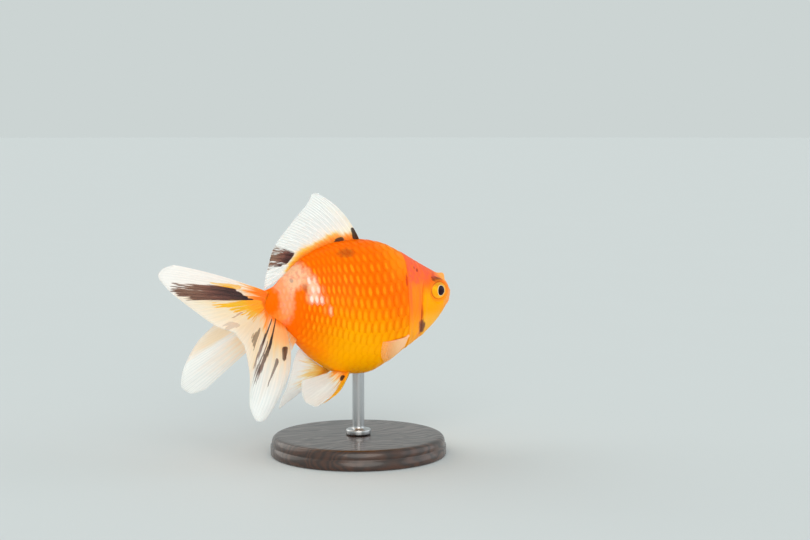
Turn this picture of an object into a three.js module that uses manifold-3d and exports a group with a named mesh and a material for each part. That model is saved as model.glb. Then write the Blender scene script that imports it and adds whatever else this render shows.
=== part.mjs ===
// A calico-orange fantail goldfish, life size, held level on a round display stand by one rod.
//
// Millimetres, +Z up. The origin is the centre of the stand's underside. The fish faces +X, and
// its right side is at -Y. Distances along the body are measured back from the tip of the snout.

import * as THREE from 'three';
import { mergeVertices } from 'three/addons/utils/BufferGeometryUtils.js';
import Module from 'manifold-3d';

const wasm = await Module();
wasm.setup();

// ---------------------------------------------------------------- driving dimensions

const STANDARD_LENGTH = 91;
const SNOUT_X = 46;
const MOUTH_HEIGHT = 66;
const GAP = 0.3;

const STAND = { radius: 37, thickness: 8, edge: 1.6, sides: 40 };
const ROD = { radius: 2.5, intoBelly: 7, sides: 20 };

// The body's sections. Each row: behind the snout, back, belly, half width, level of the widest
// line. Levels are above the mouth.
const SECTIONS = [
  [0.0, 1.5, 0.5, 0.6, 1.0],
  [1.2, 3.7, -2.3, 2.8, 0.6],
  [4.0, 6.0, -6.0, 5.9, -0.3],
  [8.5, 9.1, -10.9, 9.4, -1.3],
  [14.0, 12.1, -15.5, 12.6, -2.2],
  [20.0, 15.2, -19.4, 15.4, -2.8],
  [28.0, 19.6, -23.6, 18.6, -3.2],
  [37.0, 23.3, -28.6, 21.4, -4.2],
  [46.0, 24.6, -31.8, 22.4, -5.2],
  [56.0, 24.0, -31.0, 21.2, -5.4],
  [66.0, 21.4, -25.8, 16.6, -4.6],
  [74.0, 17.4, -18.6, 11.0, -2.6],
  [80.0, 12.6, -12.2, 6.8, -1.0],
  [86.0, 6.8, -8.0, 4.0, -0.6],
  [91.0, 5.0, -7.0, 2.4, -0.6],
];
// How square a section is above and below its widest line: 2 is an ellipse.
const ROUNDNESS = { above: 1.75, below: 2.05 };
const BODY_MESH = { rings: 30, sides: 32 };
const CORE_MESH = { rings: 10, sides: 20 };
const CUTTER_SIDES = 80;

// Side-view arcs, [behind the snout, level] of the centre.
const GILL_EDGE = { centre: [-7.3, -2.6], radius: 41 };
const CHEEK_EDGE = { centre: [4.0, -4.7], radius: 21 };
const GILL_COVER = { top: 12.5, bottom: -19, thickness: 3, fromMidline: 3 };
const JAW = { lip: 0.5, corner: [6.0, -3.2], throat: [9.6, -18], front: -3 };
const PEDUNCLE_FROM = 77;

const EYE = {
  radius: 4.8,
  behindSnout: 12.8,
  level: 2.2,
  bulge: 2.0,
  turnedForward: 11,
  mesh: { around: 16, between: 9 },
};
const NOSTRIL_FLAP = { behindSnout: 6.8, side: 3.5, level: 7.2, size: [1.7, 1.3, 1.9] };

// Fins are sheets of rays. Each ray: place along the fin's base (0 to 1), length, lift above the
// level and flare out from straight back (degrees), and upward bow as a share of the length.
const DORSAL = {
  base: { from: 45.6, to: 79.5 },
  rays: [
    [0.0, 28.6, 45.5, 0, 0.1],
    [0.06, 28.6, 45.5, 0, 0.08],
    [0.14, 26.3, 44, 0, 0.07],
    [0.25, 23.3, 41.4, 0, 0.06],
    [0.5, 18.6, 28, 0, 0.04],
    [0.75, 15.6, 13, 0, 0.02],
    [0.9, 13.0, -4, 0, 0.0],
    [1.0, 11.5, -20, 0, -0.02],
  ],
  thick: { root: 1.5, tip: 0.6, leadingSpine: 0.6 },
  mesh: { across: 15, along: 5 },
};

const TAIL_FORK = 0.5;
const TAIL_BASE = { behind: [89, 91, 83], level: [4.6, -1.0, -8.4], side: 1.4 };
const TAIL_THICK = { root: 1.5, tip: 0.6, leadingSpine: 0.3 };
const TAIL_MESH = { across: 22, along: 6 };
// A tail ray has a sixth value: how far it curls outward, as a share of its length.
const TAIL_RIGHT = [
  [0.0, 45.9, 17.2, 6, 0.02, 0.0],
  [0.06, 50.6, 14.6, 7, 0.02, 0.0],
  [0.12, 52.2, 12.3, 8.5, 0.02, 0.0],
  [0.2, 49.0, 8.6, 11, 0.01, 0.0],
  [0.34, 40.7, 1.0, 18, 0.0, 0.0],
  [0.44, 32.0, -9.0, 24, 0.0, 0.0],
  [0.5, 22.0, -23.6, 28, 0.0, 0.0],
  [0.56, 20.0, -40.0, 31, 0.0, 0.0],
  [0.66, 28.0, -57.0, 36, 0.0, 0.0],
  [0.78, 40.0, -54.5, 39, 0.0, 0.02],
  [0.88, 44.2, -57.0, 41, 0.0, 0.06],
  [0.94, 40.5, -65.0, 42, 0.0, 0.1],
  [1.0, 33.0, -78.0, 42, -0.03, 0.14],
];
const TAIL_LEFT = [
  [0.0, 39.4, 18.1, 6, 0.02, 0.0],
  [0.06, 42.6, 15.2, 7, 0.02, 0.0],
  [0.14, 42.0, 11.0, 9, 0.02, 0.0],
  [0.25, 33.0, 2.0, 17, 0.0, 0.0],
  [0.4, 23.0, -12.0, 24, 0.0, 0.0],
  [0.5, 20.0, -20.0, 28, 0.0, 0.0],
  [0.6, 29.0, -26.3, 32, 0.0, 0.0],
  [0.7, 37.2, -30.8, 34, 0.0, 0.0],
  [0.8, 44.3, -34.1, 36, 0.0, 0.02],
  [0.88, 48.1, -37.4, 37, 0.0, 0.03],
  [0.94, 47.2, -40.4, 38, 0.0, 0.04],
  [1.0, 41.7, -42.4, 39, 0.0, 0.04],
];

const PELVIC_BASE = { behind: [54, 57.5], side: [6.6, 3.0], inside: 1.0 };
const PELVIC_THICK = { root: 1.3, tip: 0.55, leadingSpine: 0.6 };
const PELVIC_MESH = { across: 8, along: 5 };
const PELVIC_RIGHT = [
  [0.0, 23.0, -21, 34, 0.02],
  [0.25, 28.0, -24, 30, 0.0],
  [0.5, 28.0, -21, 24, 0.0],
  [0.65, 25.5, -19, 18, 0.0],
  [0.8, 22.0, -14, 12, 0.0],
  [1.0, 18.5, -8, 6, 0.0],
];
const PELVIC_LEFT = [
  [0.0, 28.5, -36, 27, 0.0],
  [0.25, 25.6, -31, 24, 0.0],
  [0.5, 20.8, -21, 18, 0.0],
  [0.75, 17.2, 6, 10, 0.0],
  [1.0, 18.8, 30, 4, 0.0],
];

const ANAL = {
  base: { behind: [76.2, 81.6], side: [1.2, 1.0], inside: 1.0 },
  rays: [
    [0.0, 14.0, -63, 12, 0.03],
    [0.5, 12.0, -71, 13, 0.0],
    [1.0, 7.5, -85, 14, 0.0],
  ],
  thick: { root: 1.1, tip: 0.55, leadingSpine: 0.3 },
  mesh: { across: 6, along: 4 },
};

const PECTORAL = {
  base: { behind: [31.2, 32.6], around: [-30, -40], inside: 1.0 },
  rays: [
    [0.0, 14.0, -8, 10, 0.0],
    [0.35, 14.6, -20, 2, 0.0],
    [0.7, 13.0, -34, -10, 0.0],
    [1.0, 10.0, -46, -24, 0.0],
  ],
  thick: { root: 1.2, tip: 0.55, leadingSpine: 0.4 },
  mesh: { across: 7, along: 6 },
  standsOff: { nearRoot: 0.9, atTip: 1.8 },
};
const PELVIC_STANDS_OFF = { nearRoot: 0.9, atTip: 1.2 };

const COLOUR = {
  orange: { color: 0xf77a0a, roughness: 0.35, metalness: 0.0 },
  headOrange: { color: 0xfa7f3c, roughness: 0.35, metalness: 0.0 },
  finWhite: { color: 0xf4ebdd, roughness: 0.4, metalness: 0.0 },
  eye: { color: 0xd99a18, roughness: 0.1, metalness: 0.0 },
  darkWood: { color: 0x3b2416, roughness: 0.4, metalness: 0.0 },
  steel: { color: 0xc4c6c8, roughness: 0.3, metalness: 1.0 },
};

// ---------------------------------------------------------------- curves and solids

const radians = THREE.MathUtils.degToRad;
const lerp = THREE.MathUtils.lerp;

// A smooth curve through the given values that never overshoots them.
function smoothCurve(xs, ys) {
  const count = xs.length;
  const width = (i) => xs[i + 1] - xs[i];
  const rise = (i) => (ys[i + 1] - ys[i]) / width(i);
  const slopes = xs.map((_, i) => {
    if (i === 0) return rise(0);
    if (i === count - 1) return rise(count - 2);
    const before = rise(i - 1);
    const after = rise(i);
    return before * after <= 0 ? 0 : (2 * before * after) / (before + after);
  });
  return (x) => {
    let i = 0;
    while (i < count - 2 && x > xs[i + 1]) i += 1;
    const h = width(i);
    const t = (x - xs[i]) / h;
    const start = (1 + 2 * t) * (1 - t) ** 2 * ys[i] + t * (1 - t) ** 2 * h * slopes[i];
    const end = t * t * (3 - 2 * t) * ys[i + 1] + t * t * (t - 1) * h * slopes[i + 1];
    return start + end;
  };
}

function column(rows, index) {
  return rows.map((row) => row[index]);
}

function geometryFrom(points, faces) {
  const geometry = new THREE.BufferGeometry();
  geometry.setAttribute('position', new THREE.Float32BufferAttribute(points.flat(), 3));
  geometry.setIndex(faces.flat());
  return geometry;
}

function toSolid(geometry) {
  const bare = geometry.clone();
  bare.deleteAttribute('normal');
  bare.deleteAttribute('uv');
  const merged = mergeVertices(bare, 1e-4);
  const mesh = new wasm.Mesh({
    numProp: 3,
    vertProperties: Float32Array.from(merged.attributes.position.array),
    triVerts: Uint32Array.from(merged.index.array),
  });
  return new wasm.Manifold(mesh);
}

function toGeometry(solid) {
  const { vertProperties, triVerts } = solid.getMesh();
  const geometry = new THREE.BufferGeometry();
  geometry.setAttribute('position', new THREE.Float32BufferAttribute(vertProperties, 3));
  geometry.setIndex(Array.from(triVerts));
  geometry.computeVertexNormals();
  return geometry;
}

// A closed surface over rings of points, each end drawn together to one point.
function loft(rings, firstPole, lastPole) {
  const sides = rings[0].length;
  const points = [...rings.flat(), firstPole, lastPole];
  const first = rings.length * sides;
  const last = first + 1;
  const faces = [];
  for (let j = 0; j < sides; j += 1) {
    const k = (j + 1) % sides;
    faces.push([first, j, k]);
    faces.push([last, last - 1 - sides + k, last - 1 - sides + j]);
    for (let i = 0; i < rings.length - 1; i += 1) {
      const a = i * sides + j;
      const b = i * sides + k;
      faces.push([a, a + sides, b], [b, a + sides, b + sides]);
    }
  }
  return geometryFrom(points, faces);
}

// ---------------------------------------------------------------- the body

// The sections are blended over the square root of the distance, which rounds the snout.
const stationRoots = column(SECTIONS, 0).map(Math.sqrt);
const backCurve = smoothCurve(stationRoots, column(SECTIONS, 1));
const bellyCurve = smoothCurve(stationRoots, column(SECTIONS, 2));
const widthCurve = smoothCurve(stationRoots, column(SECTIONS, 3));
const widestCurve = smoothCurve(stationRoots, column(SECTIONS, 4));

function sectionAt(behind) {
  const root = Math.sqrt(Math.max(behind, 0));
  return {
    back: backCurve(root),
    belly: bellyCurve(root),
    halfWidth: widthCurve(root),
    widest: widestCurve(root),
  };
}

// A point on the body. The angle runs from the left side (0) over the back (90) to the right
// (180), and outset moves the point off the skin.
function bodyPoint(behind, angle, outset = 0) {
  const { back, belly, halfWidth, widest } = sectionAt(behind);
  const across = Math.cos(angle);
  const up = Math.sin(angle);
  const power = 2 / (up >= 0 ? ROUNDNESS.above : ROUNDNESS.below);
  const reach = up >= 0 ? back - widest + outset : widest - belly + outset;
  const level = widest + Math.sign(up) * reach * Math.abs(up) ** power;
  return [SNOUT_X - behind, (halfWidth + outset) * across, level];
}

function bodySolid({ outset = 0, from = 0, to = STANDARD_LENGTH, mesh = BODY_MESH }) {
  const loops = [];
  for (let i = 1; i <= mesh.rings; i += 1) {
    const behind = from + (to - from) * (i / mesh.rings) ** 1.5;
    const loop = [];
    for (let j = 0; j < mesh.sides; j += 1) {
      loop.push(bodyPoint(behind, (2 * Math.PI * j) / mesh.sides, outset));
    }
    loops.push(loop);
  }
  const front = [SNOUT_X - from + outset, 0, sectionAt(from).widest];
  const rear = [SNOUT_X - to - outset, 0, sectionAt(to).widest];
  return toSolid(loft(loops, front, rear));
}

// Moves a point that is closer to the body than the given outset straight out to it.
function pushedOut(point, outset) {
  const behind = SNOUT_X - point.x;
  const { back, belly, halfWidth, widest } = sectionAt(Math.min(behind, STANDARD_LENGTH));
  const rise = point.z - widest;
  const reach = rise >= 0 ? back - widest + outset : widest - belly + outset;
  const share = Math.hypot(point.y / (halfWidth + outset), rise / reach);
  if (share >= 1) return point;
  return new THREE.Vector3(point.x, point.y / share, widest + rise / share);
}

// ---------------------------------------------------------------- cutters

// A round bar across the fish whose outline in side view is an arc's whole circle.
function acrossCylinder({ centre, radius }, grow) {
  const bar = new THREE.CylinderGeometry(radius + grow, radius + grow, 80, CUTTER_SIDES);
  bar.translate(SNOUT_X - centre[0], 0, centre[1]);
  return toSolid(bar);
}

function block([lowX, lowY, lowZ], [highX, highY, highZ]) {
  const size = [highX - lowX, highY - lowY, highZ - lowZ];
  const box = new THREE.BoxGeometry(...size);
  box.translate((lowX + highX) / 2, (lowY + highY) / 2, (lowZ + highZ) / 2);
  return toSolid(box);
}

// A prism across the fish over a side-view outline of [behind the snout, level] points.
function sidePrism(outline) {
  const shape = new THREE.Shape(outline.map(([s, z]) => new THREE.Vector2(SNOUT_X - s, z)));
  const prism = new THREE.ExtrudeGeometry(shape, { depth: 60, bevelEnabled: false });
  prism.rotateX(Math.PI / 2);
  prism.translate(0, 30, 0);
  return toSolid(prism);
}

// ---------------------------------------------------------------- the head

function eyeDirection(side) {
  const turn = radians(EYE.turnedForward);
  return new THREE.Vector3(Math.sin(turn), side * Math.cos(turn), 0);
}

// The eyeball's centre, set in from the cheek so that only its bulge stands out.
function eyeCentre(side) {
  const { back, halfWidth, widest } = sectionAt(EYE.behindSnout);
  const height = (EYE.level - widest) / (back - widest);
  const around = Math.asin(height ** (ROUNDNESS.above / 2));
  const cheek = new THREE.Vector3(
    SNOUT_X - EYE.behindSnout,
    side * halfWidth * Math.cos(around),
    EYE.level,
  );
  return cheek.addScaledVector(eyeDirection(side), EYE.bulge - EYE.radius);
}

function eyeGeometry(side, grow) {
  const { around, between } = EYE.mesh;
  const ball = new THREE.SphereGeometry(EYE.radius + grow, around, between);
  ball.applyQuaternion(
    new THREE.Quaternion().setFromUnitVectors(new THREE.Vector3(0, 1, 0), eyeDirection(side)),
  );
  ball.translate(...eyeCentre(side).toArray());
  return ball;
}

function nostrilFlap(side) {
  const flap = new THREE.SphereGeometry(1, 10, 6);
  flap.scale(...NOSTRIL_FLAP.size);
  flap.translate(
    SNOUT_X - NOSTRIL_FLAP.behindSnout,
    side * NOSTRIL_FLAP.side,
    NOSTRIL_FLAP.level,
  );
  return toSolid(flap);
}

// The lower jaw's region in side view, moved back and up by the given shift.
function jawRegion(shift) {
  const { lip, corner, throat, front } = JAW;
  const outline = [
    [front, lip + shift],
    [0, lip + shift],
    [corner[0] + shift, corner[1] + shift],
    [throat[0] + shift, throat[1]],
    [front, throat[1]],
  ];
  return sidePrism(outline);
}

// The plate's region: behind the cheek, ahead of the gill opening, clear of the midline.
function gillCoverRegion(side, grow) {
  const inner = side * (GILL_COVER.fromMidline - grow);
  const outer = side * 30;
  const low = [-STANDARD_LENGTH, Math.min(inner, outer), GILL_COVER.bottom - grow];
  const high = [SNOUT_X, Math.max(inner, outer), GILL_COVER.top + grow];
  const outset = -GILL_COVER.thickness - grow;
  const core = bodySolid({ outset, from: 8, to: 50, mesh: CORE_MESH });
  return block(low, high).subtract(acrossCylinder(CHEEK_EDGE, -grow)).subtract(core);
}

function headSolids(body) {
  const whole = body.intersect(acrossCylinder(GILL_EDGE, -GAP));
  const covers = {};
  let skull = whole.add(nostrilFlap(1)).add(nostrilFlap(-1));
  for (const side of [1, -1]) {
    covers[side] = whole.intersect(gillCoverRegion(side, 0));
    skull = skull.subtract(gillCoverRegion(side, GAP));
    skull = skull.subtract(toSolid(eyeGeometry(side, GAP)));
  }
  const jaw = skull.intersect(jawRegion(0));
  return { skull: skull.subtract(jawRegion(GAP)), jaw, covers };
}

// ---------------------------------------------------------------- the fins

// The fin's middle sheet as rows of points, one row for each ray.
function finSheet({ base, rays, side, mesh, clearance }) {
  const places = column(rays, 0);
  const [lengthAt, liftAt, flareAt, bowAt, curlAt] = [1, 2, 3, 4, 5].map((i) =>
    smoothCurve(
      places,
      rays.map((ray) => ray[i] ?? 0),
    ),
  );
  const rows = [];
  for (let i = 0; i <= mesh.across; i += 1) {
    const u = i / mesh.across;
    const lift = radians(liftAt(u));
    const flare = radians(flareAt(u));
    const level = new THREE.Vector3(-Math.cos(flare), side * Math.sin(flare), 0);
    const along = level.clone().multiplyScalar(Math.cos(lift));
    along.z = Math.sin(lift);
    const outward = new THREE.Vector3(Math.sin(flare), side * Math.cos(flare), 0);
    const bowed = new THREE.Vector3(0, 0, Math.cos(lift)).multiplyScalar(bowAt(u));
    bowed.addScaledVector(level, -Math.sin(lift) * bowAt(u)).addScaledVector(outward, curlAt(u));
    const row = [];
    for (let j = 0; j <= mesh.along; j += 1) {
      const v = j / mesh.along;
      const point = base(u);
      point.addScaledVector(along, lengthAt(u) * v);
      point.addScaledVector(bowed, lengthAt(u) * 4 * v * (1 - v));
      row.push(clearance && j > 0 ? pushedOut(point, clearance(v)) : point);
    }
    rows.push(row);
  }
  return rows;
}

// Thickens a sheet into a closed solid, thickest at its root and along its leading ray.
function finSolid(fin) {
  const rows = finSheet(fin);
  const { root, tip, leadingSpine } = fin.thick;
  const across = rows.length - 1;
  const along = rows[0].length - 1;
  const points = [];
  const between = (i, j, di, dj) => {
    const ahead = rows[Math.min(i + di, across)][Math.min(j + dj, along)];
    const behind = rows[Math.max(i - di, 0)][Math.max(j - dj, 0)];
    return ahead.clone().sub(behind);
  };
  for (const face of [1, -1]) {
    for (let i = 0; i <= across; i += 1) {
      for (let j = 0; j <= along; j += 1) {
        const v = j / along;
        const lead = leadingSpine * Math.max(0, 1 - (6 * i) / across) * (1 - v);
        const half = (tip + (root - tip) * (1 - v) ** 2 + lead) / 2;
        const normal = between(i, j, 1, 0).cross(between(i, j, 0, 1)).normalize();
        points.push(rows[i][j].clone().addScaledVector(normal, face * half).toArray());
      }
    }
  }
  const sheetSize = (across + 1) * (along + 1);
  const index = (i, j) => i * (along + 1) + j;
  const faces = [];
  for (let i = 0; i < across; i += 1) {
    for (let j = 0; j < along; j += 1) {
      const [a, b] = [index(i, j), index(i + 1, j)];
      const [c, d] = [index(i + 1, j + 1), index(i, j + 1)];
      faces.push([a, b, c], [a, c, d]);
      faces.push([sheetSize + a, sheetSize + c, sheetSize + b]);
      faces.push([sheetSize + a, sheetSize + d, sheetSize + c]);
    }
  }
  const border = [];
  for (let i = 0; i < across; i += 1) border.push(index(i, 0));
  for (let j = 0; j < along; j += 1) border.push(index(across, j));
  for (let i = across; i > 0; i -= 1) border.push(index(i, along));
  for (let j = along; j > 0; j -= 1) border.push(index(0, j));
  border.forEach((a, n) => {
    const b = border[(n + 1) % border.length];
    faces.push([a, sheetSize + a, b], [b, sheetSize + a, sheetSize + b]);
  });
  return toSolid(geometryFrom(points, faces));
}

function dorsalBase(u) {
  const behind = lerp(DORSAL.base.from, DORSAL.base.to, u);
  return new THREE.Vector3(SNOUT_X - behind, 0, sectionAt(behind).back - 0.8);
}

function tailBase(side) {
  const behindAt = smoothCurve([0, 0.5, 1], TAIL_BASE.behind);
  const levelAt = smoothCurve([0, 0.5, 1], TAIL_BASE.level);
  return (u) => new THREE.Vector3(SNOUT_X - behindAt(u), side * TAIL_BASE.side, levelAt(u));
}

// A base line just inside the belly.
function bellyBase({ behind, side, inside }, hand) {
  return (u) => {
    const s = lerp(...behind, u);
    const out = lerp(...side, u);
    const { belly, halfWidth, widest } = sectionAt(s);
    const drop = (1 - (out / halfWidth) ** 2) ** (1 / ROUNDNESS.below);
    return new THREE.Vector3(SNOUT_X - s, hand * out, widest - (widest - belly - inside) * drop);
  };
}

// A base line just inside the flank, at angles below the level on either side.
function flankBase({ behind, around, inside }, hand) {
  return (u) => {
    const angle = radians(lerp(...around, u));
    const [x, y, z] = bodyPoint(lerp(...behind, u), angle, -inside);
    return new THREE.Vector3(x, hand * y, z);
  };
}

function standOff({ nearRoot, atTip }) {
  const rootZone = 0.12;
  return (v) => (v < rootZone ? lerp(-1, nearRoot, v / rootZone) : lerp(nearRoot, atTip, v));
}

// Parts a tail half along its fork ray, and returns the lobes from the top one down.
function partedTail(fin) {
  const whole = finSolid(fin);
  const sheet = finSheet({ ...fin, mesh: { across: 100, along: 2 } });
  const forkRow = sheet[Math.round(100 * TAIL_FORK)];
  const nextRow = sheet[Math.round(100 * TAIL_FORK) + 1];
  const along = forkRow[2].clone().sub(forkRow[0]).normalize();
  const sideways = nextRow[2].clone().sub(forkRow[2]);
  const normal = along.clone().cross(sideways).normalize();
  const down = along.clone().cross(normal);
  const slab = new THREE.BoxGeometry(90, 12, GAP);
  slab.applyMatrix4(new THREE.Matrix4().makeBasis(along, normal, down));
  slab.translate(...forkRow[0].toArray());
  return whole.subtract(toSolid(slab));
}

// ---------------------------------------------------------------- the stand

function standBaseGeometry() {
  const { radius, thickness, edge, sides } = STAND;
  const profile = [
    [0, 0],
    [radius - edge / 2, 0],
    [radius, edge / 2],
    [radius, thickness - edge],
    [radius - edge * 0.3, thickness - edge * 0.3],
    [radius - edge, thickness],
    [0, thickness],
  ];
  const points = profile.map(([r, z]) => new THREE.Vector2(r, z));
  const disc = new THREE.LatheGeometry(points, sides);
  disc.rotateX(Math.PI / 2);
  return disc;
}

function rodSolid(grow) {
  const bottom = STAND.thickness + GAP - MOUTH_HEIGHT - grow;
  const top = sectionAt(SNOUT_X).belly + ROD.intoBelly + grow;
  const rod = new THREE.CylinderGeometry(
    ROD.radius + grow,
    ROD.radius + grow,
    top - bottom,
    ROD.sides,
  );
  rod.rotateX(Math.PI / 2);
  rod.translate(0, 0, (top + bottom) / 2);
  return toSolid(rod);
}

// ---------------------------------------------------------------- the model

const model = new THREE.Group();
const fish = new THREE.Group();
fish.position.z = MOUTH_HEIGHT;
model.add(fish);

function addMesh(parent, name, geometry, finish) {
  const mesh = new THREE.Mesh(geometry, new THREE.MeshStandardMaterial(finish));
  mesh.name = name;
  parent.add(mesh);
}

function addSolid(parent, name, solid, finish) {
  addMesh(parent, name, toGeometry(solid), finish);
}

const body = bodySolid({});
const bodyAndGap = bodySolid({ outset: GAP });
const sideName = (side) => (side > 0 ? 'left' : 'right');

const { skull, jaw, covers } = headSolids(body);
addSolid(fish, 'head', skull, COLOUR.headOrange);
addSolid(fish, 'lower_jaw', jaw, COLOUR.headOrange);
for (const side of [1, -1]) {
  addSolid(fish, `gill_cover_${sideName(side)}`, covers[side], COLOUR.headOrange);
  addMesh(fish, `eye_${sideName(side)}`, eyeGeometry(side, 0), COLOUR.eye);
}

const behindGills = body.subtract(acrossCylinder(GILL_EDGE, 0));
const cutX = SNOUT_X - PEDUNCLE_FROM;
const ahead = block([cutX + GAP / 2, -60, -60], [SNOUT_X, 60, 60]);
const behind = block([cutX - 60, -60, -60], [cutX - GAP / 2, 60, 60]);
addSolid(fish, 'trunk', behindGills.intersect(ahead).subtract(rodSolid(GAP)), COLOUR.orange);
addSolid(fish, 'tail_peduncle', behindGills.intersect(behind), COLOUR.orange);

const dorsal = finSolid({ ...DORSAL, base: dorsalBase, side: 1 }).subtract(bodyAndGap);
addSolid(fish, 'dorsal_fin', dorsal, COLOUR.finWhite);

const pelvicRays = { 1: PELVIC_LEFT, [-1]: PELVIC_RIGHT };
const tailRays = { 1: TAIL_LEFT, [-1]: TAIL_RIGHT };
for (const side of [1, -1]) {
  const hand = sideName(side);
  const fins = {
    pectoral_fin: {
      ...PECTORAL,
      base: flankBase(PECTORAL.base, side),
      clearance: standOff(PECTORAL.standsOff),
    },
    pelvic_fin: {
      rays: pelvicRays[side],
      thick: PELVIC_THICK,
      mesh: PELVIC_MESH,
      base: bellyBase(PELVIC_BASE, side),
      clearance: standOff(PELVIC_STANDS_OFF),
    },
    anal_fin: { ...ANAL, base: bellyBase(ANAL.base, side) },
  };
  for (const [name, fin] of Object.entries(fins)) {
    const solid = finSolid({ ...fin, side }).subtract(bodyAndGap);
    addSolid(fish, `${name}_${hand}`, solid, COLOUR.finWhite);
  }
  const tail = partedTail({
    rays: tailRays[side],
    thick: TAIL_THICK,
    mesh: TAIL_MESH,
    base: tailBase(side),
    side,
  });
  const lobes = tail.subtract(bodyAndGap).decompose();
  const byHeight = lobes.sort((a, b) => b.boundingBox().max[2] - a.boundingBox().max[2]);
  addSolid(fish, `caudal_fin_${hand}_upper`, byHeight[0], COLOUR.finWhite);
  addSolid(fish, `caudal_fin_${hand}_lower`, byHeight[1], COLOUR.finWhite);
}

addMesh(model, 'stand_base', standBaseGeometry(), COLOUR.darkWood);
addSolid(fish, 'stand_rod', rodSolid(0), COLOUR.steel);

export default model;
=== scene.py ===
"""A life-size fantail goldfish with calico markings, held on a round display stand.

The skin is one surface over the whole body, with overlapping scale plates from the gill covers
back. Every fin is a thin web on branching rays. Lengths are in metres, +Z is up, the fish faces
+X and its right side is at -Y. Distances along the body are measured back from the snout.
"""

import math

import bpy
import numpy as np
from bpy.props import FloatProperty, FloatVectorProperty, PointerProperty
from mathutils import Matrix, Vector


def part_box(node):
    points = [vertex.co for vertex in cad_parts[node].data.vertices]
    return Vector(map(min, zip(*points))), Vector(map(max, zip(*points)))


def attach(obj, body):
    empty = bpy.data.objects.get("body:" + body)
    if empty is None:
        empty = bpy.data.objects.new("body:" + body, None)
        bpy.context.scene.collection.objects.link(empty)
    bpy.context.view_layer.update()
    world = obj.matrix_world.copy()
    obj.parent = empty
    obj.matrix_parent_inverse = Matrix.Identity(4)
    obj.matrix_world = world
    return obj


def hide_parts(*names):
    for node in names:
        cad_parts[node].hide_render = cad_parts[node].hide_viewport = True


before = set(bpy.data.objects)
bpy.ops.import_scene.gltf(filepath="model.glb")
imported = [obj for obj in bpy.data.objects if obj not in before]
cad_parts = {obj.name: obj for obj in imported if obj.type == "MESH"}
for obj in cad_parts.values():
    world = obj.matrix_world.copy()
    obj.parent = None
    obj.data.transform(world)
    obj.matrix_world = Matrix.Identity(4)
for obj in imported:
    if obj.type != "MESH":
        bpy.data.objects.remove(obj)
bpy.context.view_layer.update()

bl_info = {
    "name": "Fantail Goldfish Model",
    "version": (1, 0, 0),
    "blender": (4, 5, 0),
    "location": "View3D > Sidebar > Goldfish",
    "description": "Builds a life-size fantail goldfish on a display stand",
    "category": "Add Mesh",
}

MM = 0.001
BODY = "root"

# ---------------------------------------------------------------- driving dimensions

STANDARD_LENGTH = 91 * MM
SNOUT_X = 46 * MM
MOUTH_HEIGHT = 66 * MM

# The body's sections, in millimetres. Each row: behind the snout, back, belly, half width, level
# of the widest line. Levels are above the mouth.
SECTIONS = np.array([
    [0.0, 1.5, 0.5, 0.6, 1.0],
    [1.2, 4.1, -2.4, 2.8, 0.6],
    [4.0, 6.5, -6.0, 5.9, -0.3],
    [8.5, 9.3, -10.9, 9.4, -1.3],
    [14.0, 12.1, -15.5, 12.6, -2.2],
    [20.0, 15.2, -19.4, 15.4, -2.8],
    [28.0, 19.6, -23.6, 18.6, -3.2],
    [37.0, 23.3, -28.6, 21.4, -4.2],
    [46.0, 24.6, -31.8, 22.4, -5.2],
    [56.0, 24.0, -31.0, 21.2, -5.4],
    [66.0, 21.4, -25.8, 16.6, -4.6],
    [74.0, 17.4, -18.6, 11.0, -2.6],
    [80.0, 12.6, -12.2, 6.8, -1.0],
    [86.0, 6.8, -8.0, 4.0, -0.6],
    [91.0, 5.0, -7.0, 2.4, -0.6],
])
# The snout is blunter than its sections: it is set back by this much, fading over this length.
BLUNT = (0.6 * MM, 5 * MM)
# How square a section is above and below its widest line: 2 is an ellipse.
ROUND_ABOVE = 1.75
ROUND_BELOW = 2.05

# Side-view arcs in millimetres: behind the snout and level of the centre, and the radius.
GILL_EDGE = (-7.3, -2.6, 41.0)
CHEEK_EDGE = (4.0, -4.7, 21.0)
MOUTH_LINE = {"lip": 0.5, "corner": (6.0, -3.2)}
EYE = {"radius": 4.8, "behind": 12.8, "level": 2.2, "forward": 11, "long": 1.12, "tall": 0.92}
NOSTRIL_FLAP = {"behind": 6.8, "side": 3.5}

# Fins are sheets of rays. Each ray: place along the fin's base (0 to 1), length in millimetres,
# lift above the level and flare out from straight back in degrees, upward bow and outward curl
# as shares of the length.
DORSAL_RAYS = [
    [0.0, 28.6, 45.5, 0, 0.1, 0],
    [0.06, 28.6, 45.5, 0, 0.08, 0],
    [0.14, 26.3, 44, 0, 0.07, 0],
    [0.25, 23.3, 41.4, 0, 0.06, 0],
    [0.5, 18.6, 28, 0, 0.04, 0],
    [0.75, 15.6, 13, 0, 0.02, 0],
    [0.9, 13.2, -8, 0, 0, 0],
    [1.0, 12.8, -31, 0, -0.02, 0],
]
TAIL_RIGHT_RAYS = [
    [0.0, 45.9, 17.2, 6, 0.02, 0.0],
    [0.06, 50.6, 14.6, 7, 0.02, 0.0],
    [0.12, 52.2, 12.3, 8.5, 0.02, 0.0],
    [0.2, 49.0, 8.6, 11, 0.01, 0.0],
    [0.34, 40.7, 1.0, 18, 0.0, 0.0],
    [0.44, 32.0, -9.0, 24, 0.0, 0.0],
    [0.5, 22.0, -23.6, 28, 0.0, 0.0],
    [0.56, 20.0, -40.0, 31, 0.0, 0.0],
    [0.66, 28.0, -57.0, 36, 0.0, 0.0],
    [0.78, 41.4, -54.5, 39, 0.0, 0.02],
    [0.88, 44.6, -57.0, 41, 0.0, 0.06],
    [0.94, 41.9, -63.6, 42, 0.0, 0.1],
    [1.0, 32.4, -77.0, 42, -0.03, 0.14],
]
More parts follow.
